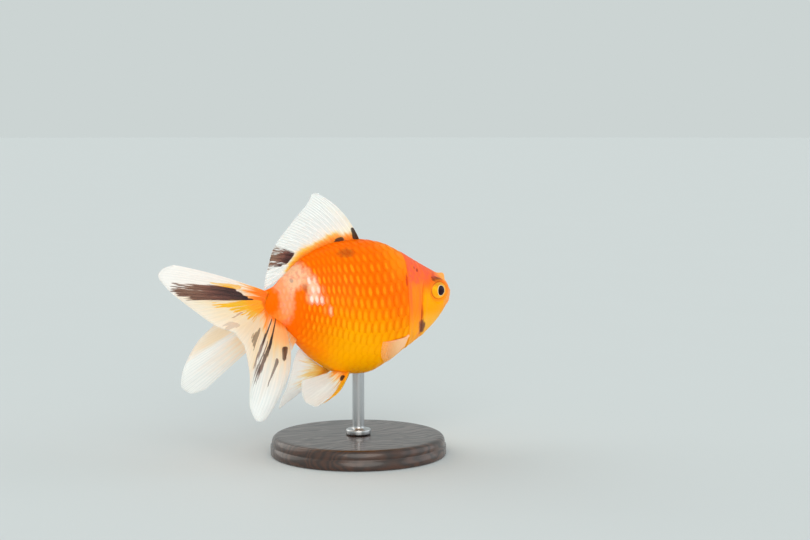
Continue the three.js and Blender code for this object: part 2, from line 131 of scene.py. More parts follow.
TAIL_LEFT_RAYS = [
    [0.0, 39.4, 18.1, 6, 0.02, 0.0],
    [0.06, 42.6, 15.2, 7, 0.02, 0.0],
    [0.14, 42.0, 11.0, 9, 0.02, 0.0],
    [0.25, 33.0, 2.0, 17, 0.0, 0.0],
    [0.4, 23.0, -12.0, 24, 0.0, 0.0],
    [0.5, 20.0, -20.0, 28, 0.0, 0.0],
    [0.6, 29.0, -26.3, 32, 0.0, 0.0],
    [0.7, 37.2, -30.8, 34, 0.0, 0.0],
    [0.8, 44.3, -34.1, 36, 0.0, 0.02],
    [0.88, 48.1, -37.4, 37, 0.0, 0.03],
    [0.94, 47.2, -40.4, 38, 0.0, 0.04],
    [1.0, 41.7, -42.4, 39, 0.0, 0.04],
]
PELVIC_RIGHT_RAYS = [
    [0.0, 23.5, -21, 34, -0.13, 0],
    [0.25, 28.0, -24, 30, -0.1, 0],
    [0.5, 28.0, -21, 24, -0.05, 0],
    [0.65, 25.5, -19, 18, 0, 0],
    [0.8, 22.0, -14, 12, 0, 0],
    [1.0, 18.5, -8, 6, 0, 0],
]
PELVIC_LEFT_RAYS = [
    [0.0, 29.5, -37.5, 27, 0, 0],
    [0.25, 26.0, -31.5, 24, 0, 0],
    [0.5, 20.8, -21, 18, 0, 0],
    [0.75, 17.0, 6, 14, 0, 0],
    [1.0, 16.6, 33, 14, 0, 0],
]
ANAL_RAYS = [
    [0.0, 14.0, -63, 12, 0.03, 0],
    [0.5, 12.0, -71, 13, 0, 0],
    [1.0, 7.5, -85, 14, 0, 0],
]
PECTORAL_RAYS = [
    [0.0, 16.2, -4, 10, 0, 0],
    [0.35, 15.2, -18, 2, 0, 0],
    [0.7, 12.6, -34, -10, 0, 0],
    [1.0, 9.6, -46, -24, 0, 0],
]
# The fins' roots, in millimetres, and in degrees round the body. Values in brackets run along
# the root, and "inside" is how deep it sits under the skin.
DORSAL_BASE = {"behind": (45.6, 79.5), "inside": 0.8}
TAIL_BASE = {"behind": (89, 91, 83), "level": (4.6, -1.0, -8.4), "side": 1.4}
PELVIC_BASE = {"behind": (54, 57.5), "side": (6.6, 3.0), "inside": 1.0}
ANAL_BASE = {"behind": (76.2, 81.6), "side": (1.2, 1.0), "inside": 1.0}
PECTORAL_BASE = {"behind": (31.2, 32.6), "around": (-30, -40), "inside": 1.0}
# How the fins are made: the number of rays and of steps along them, how deep the edge is notched
# between rays (a share of their length), the height of the waves in millimetres and their number,
# the thickness of the fleshy root in millimetres and where along the rays it ends, and how much
# thicker than the others the first ray is. Clearances from the body, in millimetres, are those
# near the root and at the tip.
DORSAL_MAKE = {
    "count": 19,
    "steps": 52,
    "scallop": 0.01,
    "wave": 0.5,
    "waves": 1.5,
    "root": 1.1,
    "flesh": 0.3,
    "spine": 0.22,
}
TAIL_MAKE = {
    "count": 23,
    "steps": 64,
    "scallop": 0.007,
    "wave": 0.7,
    "waves": 2.2,
    "root": 1.5,
    "flesh": 0.3,
    "spine": 0.12,
}
PAIRED_MAKE = {"scallop": 0.007, "wave": 0.3, "waves": 1.5, "flesh": 0.3, "spine": 0.2}
PECTORAL_MAKE = {**PAIRED_MAKE, "count": 13, "steps": 36, "root": 1.0}
PELVIC_MAKE = {**PAIRED_MAKE, "count": 10, "steps": 48, "root": 1.1}
ANAL_MAKE = {**PAIRED_MAKE, "count": 8, "steps": 36, "root": 0.9}
PECTORAL_CLEARANCE = (0.6, 0.8)
PELVIC_CLEARANCE = (0.35, 0.5)
COLUMNS_PER_RAY = 14


def srgb(red, green, blue):
    """A screen colour of 0 to 255 steps as the linear colour that shaders take."""
    parts = [channel / 255 for channel in (red, green, blue)]
    return tuple(c / 12.92 if c <= 0.04045 else ((c + 0.055) / 1.055) ** 2.4 for c in parts)


# ---------------------------------------------------------------- curves and the body's shape


def smooth_curve(places, values):
    """A smooth curve through the values that never overshoots them."""
    places, values = np.asarray(places, float), np.asarray(values, float)
    widths = np.diff(places)
    rises = np.diff(values) / widths
    both = rises[:-1] * rises[1:]
    total = np.where(both > 0, rises[:-1] + rises[1:], 1)
    slopes = np.concatenate([rises[:1], np.where(both > 0, 2 * both / total, 0), rises[-1:]])

    def at(x):
        x = np.asarray(x, float)
        i = np.clip(np.searchsorted(places, x) - 1, 0, len(places) - 2)
        h = widths[i]
        t = (x - places[i]) / h
        start = (1 + 2 * t) * (1 - t) ** 2 * values[i] + t * (1 - t) ** 2 * h * slopes[i]
        end = t * t * (3 - 2 * t) * values[i + 1] + t * t * (t - 1) * h * slopes[i + 1]
        return start + end

    return at


def smoothstep(x, low, high):
    """A smooth climb from 0 to 1 as x goes from low to high, or a fall where low is the larger."""
    t = np.clip((np.asarray(x, float) - low) / (high - low), 0, 1)
    return t * t * (3 - 2 * t)


def bell(x, width):
    """A bump of height 1 at x = 0 that fades out on both sides."""
    return np.exp(-((x / width) ** 2))


# The sections are blended over the square root of the distance, which rounds the snout.
SECTION_CURVES = [
    smooth_curve(np.sqrt(SECTIONS[:, 0] * MM), SECTIONS[:, i] * MM) for i in (1, 2, 3, 4)
]


def section_at(behind):
    """Back, belly, half width and widest level at a distance behind the snout."""
    root = np.sqrt(np.clip(behind, 0, STANDARD_LENGTH))
    return [curve(root) for curve in SECTION_CURVES]


def body_point(behind, angle, outset=0.0):
    """A point on the body. The angle runs from the left side (0) over the back to the right (pi)."""
    behind, angle = np.broadcast_arrays(behind, angle)
    back, belly, half_width, widest = section_at(behind)
    across, up = np.cos(angle), np.sin(angle)
    power = np.where(up >= 0, 2 / ROUND_ABOVE, 2 / ROUND_BELOW)
    reach = np.where(up >= 0, back - widest, widest - belly) + outset
    level = widest + np.sign(up) * reach * np.abs(up) ** power
    ahead = SNOUT_X - behind - BLUNT[0] * (1 - smoothstep(behind, 0, BLUNT[1]))
    return np.stack([ahead, (half_width + outset) * across, MOUTH_HEIGHT + level], -1)


def side_on_body(behind, level):
    """How far from the midline the skin is at a distance behind the snout and a level."""
    back, belly, half_width, widest = section_at(behind)
    rise = level - widest
    above = rise >= 0
    share = np.abs(rise) / np.where(above, back - widest, widest - belly)
    up = np.clip(share, 0, 1) ** (np.where(above, ROUND_ABOVE, ROUND_BELOW) / 2)
    return half_width * np.sqrt(np.clip(1 - up * up, 0, 1))


def beyond_arc(places, arc):
    """Millimetres outside a side-view arc, for places of (behind, right, level) in millimetres."""
    return np.hypot(places[..., 0] - arc[0], places[..., 2] - arc[1]) - arc[2]


def places_of(points):
    """Points as (behind the snout, right of the midline, above the mouth), in millimetres."""
    x, y, z = np.moveaxis(points, -1, 0)
    return np.stack([SNOUT_X - x, -y, z - MOUTH_HEIGHT], -1) / MM


# ---------------------------------------------------------------- meshes


def grid_faces(rows, columns, start=0, wrapped=False, flipped=False):
    """Quads over a grid of points held row by row, and each corner's row and column."""
    across = columns if wrapped else columns - 1
    i, j = np.meshgrid(np.arange(rows - 1), np.arange(across), indexing="ij")
    i, j = i.ravel(), j.ravel()
    corners = [(i, j), (i, j + 1), (i + 1, j + 1), (i + 1, j)]
    if flipped:
        corners.reverse()
    places = np.stack([np.stack(corner, -1) for corner in corners], 1)
    faces = start + places[..., 0] * columns + places[..., 1] % columns
    return faces, places


def tube_faces(rows, columns, flipped=False):
    """Faces of rings of points with a fan at both ends, and each wall corner's row and column.

    The points of the two ends come after those of the rings.
    """
    wall, corners = grid_faces(rows, columns, wrapped=True, flipped=flipped)
    j = np.arange(columns)
    k = (j + 1) % columns
    count = rows * columns
    last = count - columns
    first_fan = np.stack([np.full(columns, count), k, j], -1)
    last_fan = np.stack([np.full(columns, count + 1), last + j, last + k], -1)
    order = slice(None, None, -1 if flipped else 1)
    return [wall, first_fan[:, order], last_fan[:, order]], corners


def tube_chart(corners, columns, levels):
    """The bake map of such a tube: across it round the rings, and up it by the levels given."""
    j = np.arange(columns)

    def at(level, column):
        return np.stack([column / columns, level + 0 * column], -1)

    wall = at(levels[corners[..., 0] + 1], corners[..., 1])
    first = np.stack([at(levels[0], j + 0.5), at(levels[1], j + 1), at(levels[1], j)], 1)
    last = np.stack([at(levels[-1], j + 0.5), at(levels[-2], j), at(levels[-2], j + 1)], 1)
    return np.concatenate([part.reshape(-1, 2) for part in (wall, first, last)])


def new_piece(name, points, faces, uvs, material, replaced, attributes=None):
    """A smooth-shaded mesh from faces of 3 or 4 corners, with a bake map, riding on the body."""
    faces = [np.asarray(group, np.int32) for group in faces]
    corners = np.concatenate([group.ravel() for group in faces])
    totals = np.concatenate([np.full(len(group), group.shape[1]) for group in faces])
    mesh = bpy.data.meshes.new(name)
    mesh.vertices.add(len(points))
    mesh.vertices.foreach_set("co", np.asarray(points, np.float32).ravel())
    mesh.loops.add(len(corners))
    mesh.loops.foreach_set("vertex_index", corners.astype(np.int32))
    mesh.polygons.add(len(totals))
    starts = np.concatenate([[0], np.cumsum(totals)[:-1]])
    mesh.polygons.foreach_set("loop_start", starts.astype(np.int32))
    mesh.polygons.foreach_set("use_smooth", np.ones(len(totals), bool))
    mesh.update(calc_edges=True)
    for label, values in (attributes or {}).items():
        values = np.asarray(values, np.float32)
        kind = "FLOAT_VECTOR" if values.ndim == 2 else "FLOAT"
        made = mesh.attributes.new(label, kind, "POINT")
        made.data.foreach_set("vector" if values.ndim == 2 else "value", values.ravel())
    layer = mesh.uv_layers.new(name="OFBake")
    layer.data.foreach_set("uv", np.asarray(uvs, np.float32).ravel())
    if mesh.validate():
        raise RuntimeError(f"{name} has faulty faces")
    mesh.materials.append(material)
    piece = bpy.data.objects.new(name, mesh)
    bpy.context.scene.collection.objects.link(piece)
    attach(piece, BODY)
    if replaced:
        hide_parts(*replaced)


# ---------------------------------------------------------------- shader building


class Value:
    """A shader socket that Python's operators work on, adding a Math node each time."""

    def __init__(self, socket):
        self.socket = socket

    def math(self, operation, first, second):
        tree = self.socket.id_data
        return Nodes(tree).add("ShaderNodeMath", {"operation": operation}, {0: first, 1: second})

    def __add__(self, other):
        return self.math("ADD", self, other)

    def __radd__(self, other):
        return self.math("ADD", other, self)

    def __sub__(self, other):
        return self.math("SUBTRACT", self, other)

    def __rsub__(self, other):
        return self.math("SUBTRACT", other, self)

    def __mul__(self, other):
        return self.math("MULTIPLY", self, other)

    def __rmul__(self, other):
        return self.math("MULTIPLY", other, self)

    def __truediv__(self, other):
        return self.math("DIVIDE", self, other)

    def __rtruediv__(self, other):
        return self.math("DIVIDE", other, self)

    def __pow__(self, other):
        return self.math("POWER", self, other)

    def __abs__(self):
        return self.math("ABSOLUTE", self, 0.0)

    def most(self, other):
        return self.math("MAXIMUM", self, other)

    def least(self, other):
        return self.math("MINIMUM", self, other)


class Nodes:
    """Adds nodes to a tree: one method makes any node, the others name the common ones."""

    def __init__(self, tree):
        self.tree = tree

    def add(self, kind, settings=None, values=None, out=0):
        node = self.tree.nodes.new(kind)
        for key, setting in (settings or {}).items():
            setattr(node, key, setting)
        for key, value in (values or {}).items():
            socket = node.inputs[key] if isinstance(key, int) else next(
                s for s in node.inputs if key in (s.identifier, s.name)
            )
            if isinstance(value, Value):
                self.tree.links.new(value.socket, socket)
            elif hasattr(socket.default_value, "__len__") and len(value) < len(socket.default_value):
                socket.default_value = (*value, 1.0)
            else:
                socket.default_value = value
        if out is None:
            return None
        if isinstance(out, int):
            return Value(node.outputs[out])
        return Value(next(s for s in node.outputs if out in (s.identifier, s.name)))

    def attribute(self, name, out="Vector"):
        return self.add("ShaderNodeAttribute", {"attribute_name": name}, out=out)

    def parts(self, vector):
        split = self.add("ShaderNodeSeparateXYZ", values={0: vector}).socket.node
        return [Value(output) for output in split.outputs]

    def join(self, x, y, z):
        return self.add("ShaderNodeCombineXYZ", values={0: x, 1: y, 2: z})

    def ramp(self, value, low, high, start=0.0, end=1.0):
        """A smooth climb from start to end as the value goes from low to high."""
        if low > high:
            low, high, start, end = high, low, end, start
        settings = {"interpolation_type": "SMOOTHSTEP"}
        values = {"Value": value, 1: low, 2: high, 3: start, 4: end}
        return self.add("ShaderNodeMapRange", settings, values)

    def mix(self, factor, first, second, way="MIX"):
        settings = {"data_type": "RGBA", "blend_type": way}
        values = {"Factor_Float": factor, "A_Color": first, "B_Color": second}
        return self.add("ShaderNodeMix", settings, values, "Result_Color")

    def noise(self, where, scale, detail=3.0, roughness=0.5):
        values = {"Vector": where, "Scale": scale, "Detail": detail, "Roughness": roughness}
        return self.add("ShaderNodeTexNoise", values=values)

    def stretched(self, where, scales):
        return self.add("ShaderNodeVectorMath", {"operation": "MULTIPLY"}, {0: where, 1: scales})

    def bump(self, height, depth, strength=1.0):
        values = {"Height": height, "Distance": depth, "Strength": strength}
        return self.add("ShaderNodeBump", values=values)

    def finish(self, **values):
        """The surface shader, with its sockets' values and links."""
        named = {key.replace("_", " ").title(): value for key, value in values.items()}
        renamed = {"Coat Ior": "Coat IOR", "Specular Level": "Specular IOR Level"}
        shader = self.add(
            "ShaderNodeBsdfPrincipled",
            values={renamed.get(key, key): value for key, value in named.items()},
        )
        self.add("ShaderNodeOutputMaterial", values={"Surface": shader}, out=None)


def new_material(name):
    """An empty material and what adds its nodes."""
    material = bpy.data.materials.new(name)
    material.use_nodes = True
    material.node_tree.nodes.clear()
    return material, Nodes(material.node_tree)


# ---------------------------------------------------------------- the colours of the body

# Marks on the body: behind the snout, level, half sizes and tilt in degrees, then the colour, its
# strength, and the side: 1 right, -1 left. Millimetres.
MARKS = [
    (23.8, -12.2, 1.8, 3.4, -27, srgb(84, 60, 64), 0.9, 1),
    (25.2, -6.4, 0.75, 3.8, -4, srgb(186, 74, 30), 0.75, 1),
    (25.6, 12.4, 0.65, 0.5, -30, srgb(176, 52, 46), 0.65, 1),
    (24.3, 11.3, 0.8, 0.55, -40, srgb(150, 42, 40), 0.85, 1),
    (33.0, 8.0, 0.6, 2.6, 16, srgb(204, 40, 22), 0.75, 1),
    (14.3, 7.0, 1.8, 1.1, -8, srgb(90, 54, 30), 0.95, 1),
    (11.5, 6.9, 1.3, 0.55, -12, srgb(112, 66, 34), 0.85, 1),
    # A dark red streak above the eye: painted shade of a crease.
    (13.6, 8.4, 2.0, 0.7, -30, srgb(214, 76, 56), 0.55, 1),
    (57.4, 19.9, 3.3, 1.5, -12, srgb(150, 68, 26), 0.6, 1),
    (80.0, 9.2, 0.6, 0.8, 0, srgb(140, 130, 132), 0.55, 1),
    (85.5, -5.5, 4.2, 2.6, -20, srgb(255, 156, 64), 0.55, 1),
    (75.8, 6.2, 1.0, 1.6, 0, srgb(150, 96, 74), 0.5, 1),
    (13.4, 6.9, 3.1, 1.15, -4, srgb(104, 72, 36), 0.9, -1),
    (24.6, 1.5, 1.1, 1.7, 10, srgb(140, 70, 50), 0.7, -1),
    (63.0, 17.0, 3.4, 1.9, 20, srgb(96, 58, 40), 0.85, -1),
    (45.0, 9.0, 2.9, 1.6, 0, srgb(112, 64, 38), 0.6, -1),
]
# Pale pink patches: behind, level, half sizes, tilt, side.
PALE = [
    (77.8, 11.8, 4.1, 4.7, 0, 1),
    (73.2, 5.6, 1.9, 4.8, 10, 1),
    (82.6, 8.6, 4.2, 4.6, 0, 1),
    (82.7, 1.0, 2.5, 8.6, 0, 1),
    (76.0, 12.0, 5.2, 4.0, 0, -1),
    (82.0, 3.0, 2.4, 6.5, 0, -1),
]
# Scales with painted glints at the edge of the pale patch: behind, level, half sizes, tilt, side.
SHINING = [
    (72.3, 2.9, 2.9, 3.6, 0, 1),
    (73.6, 9.4, 1.2, 3.4, 0, 1),
    (68.8, -2.0, 0.9, 1.2, 0, 1),
    (71.0, 6.5, 4.0, 3.4, 0, -1),
]


def ellipse(nodes, behind, level, spot, wobble, soft):
    """A soft-edged mask of a tilted ellipse in side view."""
    middle_behind, middle_level, long, tall, tilt = spot
    cosine, sine = math.cos(math.radians(tilt)), math.sin(math.radians(tilt))
    back, up = behind - middle_behind, level - middle_level
    along = back * cosine + up * sine
    above = up * cosine - back * sine
    away = ((along / long) ** 2.0 + (above / tall) ** 2.0) ** 0.5 + wobble
    return nodes.ramp(away, 1 + soft, 1 - soft)


def arc_distance(behind, level, arc):
    """Millimetres outside a side-view arc, as a shader value."""
    return ((behind - arc[0]) ** 2.0 + (level - arc[1]) ** 2.0) ** 0.5 - arc[2]


def flank_colour(nodes, where, broad, look):
    """Orange flanks, cloudy and deeper to the rear, over a yellow belly."""
    behind, _, level = where
    forward = nodes.ramp(behind, 60, 42)
    belly = nodes.ramp(level + (broad - 0.5) * 8 + forward * 5, 8, -15)
    belly = belly * nodes.ramp(behind, 80, 60)
    colour = nodes.mix(belly, look.flank_colour, look.belly_colour)
    deep = nodes.ramp(broad + (behind - 60) * 0.006, 0.5, 0.72)
    colour = nodes.mix(deep * 0.8 * (1 - belly), colour, look.deep_colour)
    front = nodes.ramp(behind, 46, 34) * nodes.ramp(level, 4, 16)
    return nodes.mix(front * 0.7, colour, look.back_colour)


def with_head(nodes, where, broad, fine, colour, look):
    """Lays the colours of gill covers, cheeks, snout, flush and nostril flaps over the body's.

    The lower jaw carries a painted rim glow and the snout a painted pale haze.
    """
    behind, right, level = where
    gill = arc_distance(behind, level, GILL_EDGE)
    head = nodes.ramp(gill, 0.3, -0.3)
    low = nodes.ramp(level + (fine - 0.5) * 3, -3, -15)
    cover = nodes.mix(low, look.gill_cover_colour, look.throat_colour)
    colour = nodes.mix(head, colour, cover)
    cheek = arc_distance(behind, level, CHEEK_EDGE)
    in_cheek = nodes.ramp(cheek + (fine - 0.5) * 1.6, 0.5, -0.9)
    face = nodes.mix(nodes.ramp(level + (fine - 0.5) * 3, 0, 7), look.cheek_colour, look.brow_colour)
    # Painted rim glow: the lower jaw is painted lighter yellow towards its lower edge.
    face = nodes.mix(nodes.ramp(level, -5, -10) * 0.6, face, look.chin_rim_glow_colour)
    # The snout's colour is its own orange with a painted pale haze mixed in.
    snout = nodes.ramp(behind - level * 0.3, 12, 5)
    face = nodes.mix(snout * 0.8, face, look.snout_and_haze_colour)
    colour = nodes.mix(in_cheek * head, colour, face)
    lift = level + (behind - 33) * 0.12
    flush = nodes.ramp(lift + (broad - 0.5) * 4, 2.6, 7.4) * nodes.ramp(behind, 8, 13)
    edge = nodes.ramp(abs(gill + 1.1), 1.7, 0.3) * nodes.ramp(level, -12, 3) * 0.8
    band = nodes.ramp(abs(gill + 7.0 + (fine - 0.5) * 2), 1.4, 0.3) * 0.35
    colour = nodes.mix(head * flush.most(edge).most(band) * 0.9, colour, look.head_top_colour)
    deep_red = nodes.ramp(fine + level * 0.01, 0.5, 0.75) * flush * head
    colour = nodes.mix(deep_red * 0.65, colour, look.flush_colour)
    ahead = behind - (NOSTRIL_FLAP["behind"] - 0.2)
    flap_away = (ahead**2.0 + (abs(right) - NOSTRIL_FLAP["side"]) ** 2.0) ** 0.5
    flap = nodes.ramp(flap_away, 2.6, 1.2) * nodes.ramp(level, 2, 4)
    return nodes.mix(flap * 0.85, colour, look.flap_colour)


def body_colours(nodes, place, look):
    """The colour of skin and scales at a place, and the masks of the pale patches and marks."""
    where = nodes.parts(place)
    behind, right, level = where
    broad = nodes.noise(place, 0.09, 2.0)
    fine = nodes.noise(place, 0.55, 3.0)
    sides = {1: nodes.ramp(right, -0.8, 0.8), -1: nodes.ramp(right, 0.8, -0.8)}
    colour = flank_colour(nodes, where, broad, look)
    colour = with_head(nodes, where, broad, fine, colour, look)

    wobble = (fine - 0.5) * 1.1
    pale = 0.0
    for *spot, side in PALE:
        pale = ellipse(nodes, behind, level, spot, wobble * 0.6, 0.5) * sides[side] + pale
    pale = pale.least(1.0)
    grain = nodes.noise(place, 1.3, 3.0, 0.6)
    rear = nodes.ramp(behind + (broad - 0.5) * 6 - level * 0.15, 78, 82)
    blush = nodes.mix(rear, look.pale_colour, look.peach_colour)
    cloud = nodes.ramp(fine, 0.5, 0.66) * 0.75
    blush = nodes.mix(cloud, blush, look.blush_colour)
    blush = nodes.mix(nodes.ramp(grain, 0.54, 0.7) * 0.45, blush, look.lilac_colour)
    colour = nodes.mix(pale * 0.92, colour, blush)
    marked = 0.0
    for *spot, paint, strength, side in MARKS:
        soft = 0.95 - 0.7 * strength
        mask = ellipse(nodes, behind, level, spot, wobble, soft) * sides[side] * strength
        colour = nodes.mix(mask * (0.55 + grain * 0.9).least(1.0), colour, paint)
        marked = mask + marked
    return colour, pale, marked.least(1.0)


def skin_material(look):
    """Bare skin: mottled, with painted shade in its folds and a coloured ring round each eye."""
    material, nodes = new_material("Goldfish Skin")
    place = nodes.attribute("place")
    colour = body_colours(nodes, place, look)[0]
    fold = nodes.attribute("fold", "Fac")
    # Painted shade: folds, grooves, the mouth's slit and the nostril pits are darkened.
    colour = nodes.mix(nodes.ramp(fold, 0.15, 1.0) * 0.6, colour, look.fold_shade_colour, "MULTIPLY")
    ring = nodes.attribute("ring", "Fac")
    colour = nodes.mix(ring * 0.7, colour, look.ring_colour)
    mottle = nodes.noise(place, 2.2, 4.0, 0.6)
    colour = nodes.mix(nodes.ramp(mottle, 0.45, 0.7) * 0.16, colour, look.mottle_colour)
    grain = nodes.noise(place, 5.0, 3.0, 0.55)
    striae = nodes.noise(nodes.stretched(place, (2.6, 1.0, 0.45)), 1.0, 2.0)
    height = grain * 0.35 + striae * 0.65
    nodes.finish(
        base_color=colour,
        roughness=nodes.ramp(mottle, 0.3, 0.7, 0.3, 0.46),
        normal=nodes.bump(height, 0.12 * MM, 0.5),
        specular_level=0.02,
        subsurface_weight=0.08,
        subsurface_radius=(1.0, 0.35, 0.12),
        subsurface_scale=1.0 * MM,
        coat_weight=0.02,
        coat_roughness=0.15,
    )
    return material


def scale_material(look):
    """Each scale has a bright upright dash on its bare part, set in a deeper net.

    The dash is partly the scale's own pale layer and partly a painted highlight. The shining scales
    carry painted glints.
    """
    material, nodes = new_material("Goldfish Scales")
    place = nodes.attribute("place")
    along, across, chance = nodes.parts(nodes.attribute("plate"))
    colour, pale, marked = body_colours(nodes, place, look)
    behind, right, level = nodes.parts(nodes.attribute("root"))
    shining = 0.0
    for *spot, side in SHINING:
        on_side = nodes.ramp(right * side, -0.5, 0.5)
        shining = ellipse(nodes, behind, level, spot, 0.0, 0.35) * on_side + shining
    shining = shining.least(1.0)

    rough = nodes.noise(nodes.join(along * 3, across * 2, chance * 40), 2.0, 2.0)
    bend = along + across * across * 0.07 + (rough - 0.5) * 0.14 + (chance - 0.5) * 0.04
    forward = nodes.ramp(behind, 60, 38)
    wide = shining * 0.04 + 0.118 - forward * 0.034
    tall = 0.56 - nodes.ramp(behind, 60, 70) * 0.04 - forward * chance * 0.12
    dash = nodes.ramp(((bend - 0.755) / wide) ** 2.0 + (across / tall) ** 2.0, 1.6, 0.3)
    quiet = nodes.ramp(level, -9, -20).most(nodes.ramp(level + behind * 0.1, 19, 27))
    quiet = (quiet * 0.8).most(nodes.ramp(behind, 74, 79))
    quiet = quiet.most(nodes.ramp(behind - level * 0.25, 39, 33) * 0.8)
    strength = (0.2 + chance * 0.36) * (1 - quiet) * (1 - pale * 0.8) * (1 - forward * 0.3)
    strength = strength.most(marked * 0.4 * (1 - quiet))
    net = nodes.ramp(bend, 0.84, 0.94).most(nodes.ramp(bend, 0.68, 0.56) * 0.7)
    colour = nodes.mix(net * 0.42 * (1 - pale) * (1 - quiet), colour, look.net_colour)
    # The dash is partly the scale's own pale layer and partly a painted highlight.
    colour = nodes.mix(dash * strength, colour, look.dash_highlight_colour)
    # Painted glints: the shining scales' dashes, and faintly those in the pale patches, are painted
    # pink white.
    glint = (dash * (0.52 + chance * 0.3) + 0.2) * shining
    colour = nodes.mix(glint.most(dash * pale * chance * 0.14), colour, look.glint_highlight_colour)

    rings = nodes.add(
        "ShaderNodeTexWave",
        {"wave_type": "RINGS", "rings_direction": "Z"},
        {"Vector": nodes.join(along, across * 0.45, 0.0), "Scale": 7.0, "Distortion": 0.6},
        "Fac",
    )
    spokes = nodes.noise(nodes.join(along * 1.2, across * 9, chance * 9), 2.2, 2.0)
    nodes.finish(
        base_color=colour,
        roughness=0.42 - dash * 0.14,
        normal=nodes.bump(rings * 0.5 + spokes * 0.5, 0.03 * MM, 0.5),
        specular_level=0.02,
        subsurface_weight=0.06,
        subsurface_radius=(1.0, 0.35, 0.12),
        subsurface_scale=0.8 * MM,
        coat_weight=0.02,
        coat_roughness=0.14,
    )
    return material


# ---------------------------------------------------------------- the skin


def eye_axis(side, forward):
    """Straight out of an eye, turned forward by some degrees."""
    turn = math.radians(forward)
    return np.array([math.sin(turn), side * math.cos(turn), 0.0])


def eye_socket(side):
    """Where the eye's axis leaves the cheek."""
    behind, level = EYE["behind"] * MM, EYE["level"] * MM
    return np.array([
        SNOUT_X - behind,
        side * float(side_on_body(behind, level)),
        MOUTH_HEIGHT + level,
    ])


# The lid's height over the socket's plane at each distance from the eye's axis, in millimetres.
LID_HEIGHT = smooth_curve(
    [0.0, 3.5, 3.8, 4.0, 4.2, 4.55, 4.95, 5.5, 7.0],
    [-2.6, -2.3, -1.3, -0.15, 0.2, 0.36, 0.24, 0.0, -0.3],
)
# Distances from the eye's axis, in millimetres: how far the socket shapes the skin, where it takes
# over fully, the lid's rim that rows of points are drawn to, and the middle of the coloured ring.
SOCKET = {"reach": 7.2, "full": 4.9, "rim": 4.05, "ring": 4.6}


def with_eye_socket(points, side):
    """Draws the skin round an eye into a lid ring, and its inside down behind the eyeball."""
    socket, axis = eye_socket(side), eye_axis(side, EYE["forward"])
    offset = points - socket
    on_axis = (offset @ axis)[..., None]
    flat = offset - on_axis * axis
    lengthwise = flat @ np.cross(axis, [0.0, 0.0, 1.0]) / EYE["long"]
    radius = np.hypot(lengthwise, flat[..., 2] / EYE["tall"]) / MM
    near = (radius < SOCKET["reach"]) & (points[..., 1] * side > 0)
    from_rim = radius - SOCKET["rim"]
    drawn = radius - from_rim * 0.78 * bell(from_rim, 0.75)
    moved = socket + flat * (drawn / np.maximum(radius, 1e-6))[..., None]
    on_skin = moved + on_axis * axis
    plane = moved + (LID_HEIGHT(np.clip(drawn, 0, 7)) * MM)[..., None] * axis
    share = smoothstep(drawn, SOCKET["reach"] - 0.4, SOCKET["full"])[..., None]
    shaped = on_skin * (1 - share) + plane * share
    ring = bell(drawn - SOCKET["ring"], 0.6) * near
    return np.where(near[..., None], shaped, points), ring


def skin_relief(place, height):
    """How far the skin stands off the body's surface, and how deep it is in a fold, which sets the
    painted shade there.
    """
    gill = beyond_arc(place, GILL_EDGE)
    cheek = beyond_arc(place, CHEEK_EDGE)
    behind, right, level = np.moveaxis(place, -1, 0)
    free_edge = smoothstep(height, 0.9, 0.62) * smoothstep(height, -0.97, -0.8)
    step = smoothstep(gill, -0.12, 0.3) * free_edge
    slope = smoothstep(gill, -1.5, 2.6) * (1 - free_edge)
    under_scales = -0.8 * (step + slope)
    lip = 0.32 * bell(gill + 0.75, 0.9) * free_edge * (gill < 0.3)
    groove_span = smoothstep(level, 9, 4) * smoothstep(level, -18.5, -15.5)
    groove = bell(cheek - 0.2, 0.42) * groove_span * (right != 0)
    plate = 0.3 * bell(cheek + 1.6, 1.3) * groove_span
    second = bell(cheek - 5.4, 0.45) * smoothstep(level, -4, -9) * smoothstep(level, -20, -17)

    lip_level = MOUTH_LINE["lip"]
    corner_behind, corner_level = MOUTH_LINE["corner"]
    slant = (corner_level - lip_level) / corner_behind
    from_line = (level - lip_level - slant * behind) / math.hypot(1, slant)
    in_mouth = smoothstep(behind, corner_behind + 0.9, corner_behind - 0.6)
    slit = bell(from_line, 0.2) * in_mouth
    lips = (bell(from_line - 0.75, 0.5) + bell(from_line + 0.75, 0.5)) * in_mouth
    crease_span = smoothstep(behind, 8.0, 5.0) * smoothstep(behind, 0.8, 2.2)
    dimple = bell(np.hypot(behind - 7.6, (level + 4.0) * 0.45), 0.8)
    crease = dimple + bell(from_line - 2.3, 0.25) * crease_span

    from_flap = behind - NOSTRIL_FLAP["behind"]
    aside = np.abs(right) - NOSTRIL_FLAP["side"]
    on_top = smoothstep(level, 3, 5)
    flap = bell(np.hypot(from_flap, aside), 1.25) * 1.75 * on_top
    pit = bell(np.hypot(from_flap + 2.3, aside), 0.55) * on_top
    throat = bell(right, 0.8) * smoothstep(height, -0.9, -0.98) * smoothstep(behind, 10, 16)
    throat = throat * smoothstep(gill, 1, -2)

    relief = under_scales + lip + plate - 0.55 * groove - 0.25 * second
    relief = relief + 0.34 * lips - 0.85 * slit - 0.22 * crease + flap - 0.5 * pit - 0.3 * throat
    relief = relief + 0.1 * np.sin(behind * 1.9 + level * 0.7) * bell(cheek - 4, 3) * (gill < 0)
    edge_fold = bell(gill - 0.35, 0.4) * free_edge
    fold = np.clip(0.7 * groove + slit + 0.4 * crease + 0.8 * pit + edge_fold + 0.3 * second, 0, 1)
    return relief * MM, fold


def outward_normals(points, middles):
    """Unit normals of rings of points, pointing away from the rings' middles."""
    along = np.gradient(points, axis=0)
    around = np.roll(points, -1, axis=1) - np.roll(points, 1, axis=1)
    normals = np.cross(along, around)
    normals /= np.maximum(np.linalg.norm(normals, axis=-1, keepdims=True), 1e-12)
    return normals * np.sign(np.sum(normals * (points - middles), -1, keepdims=True))


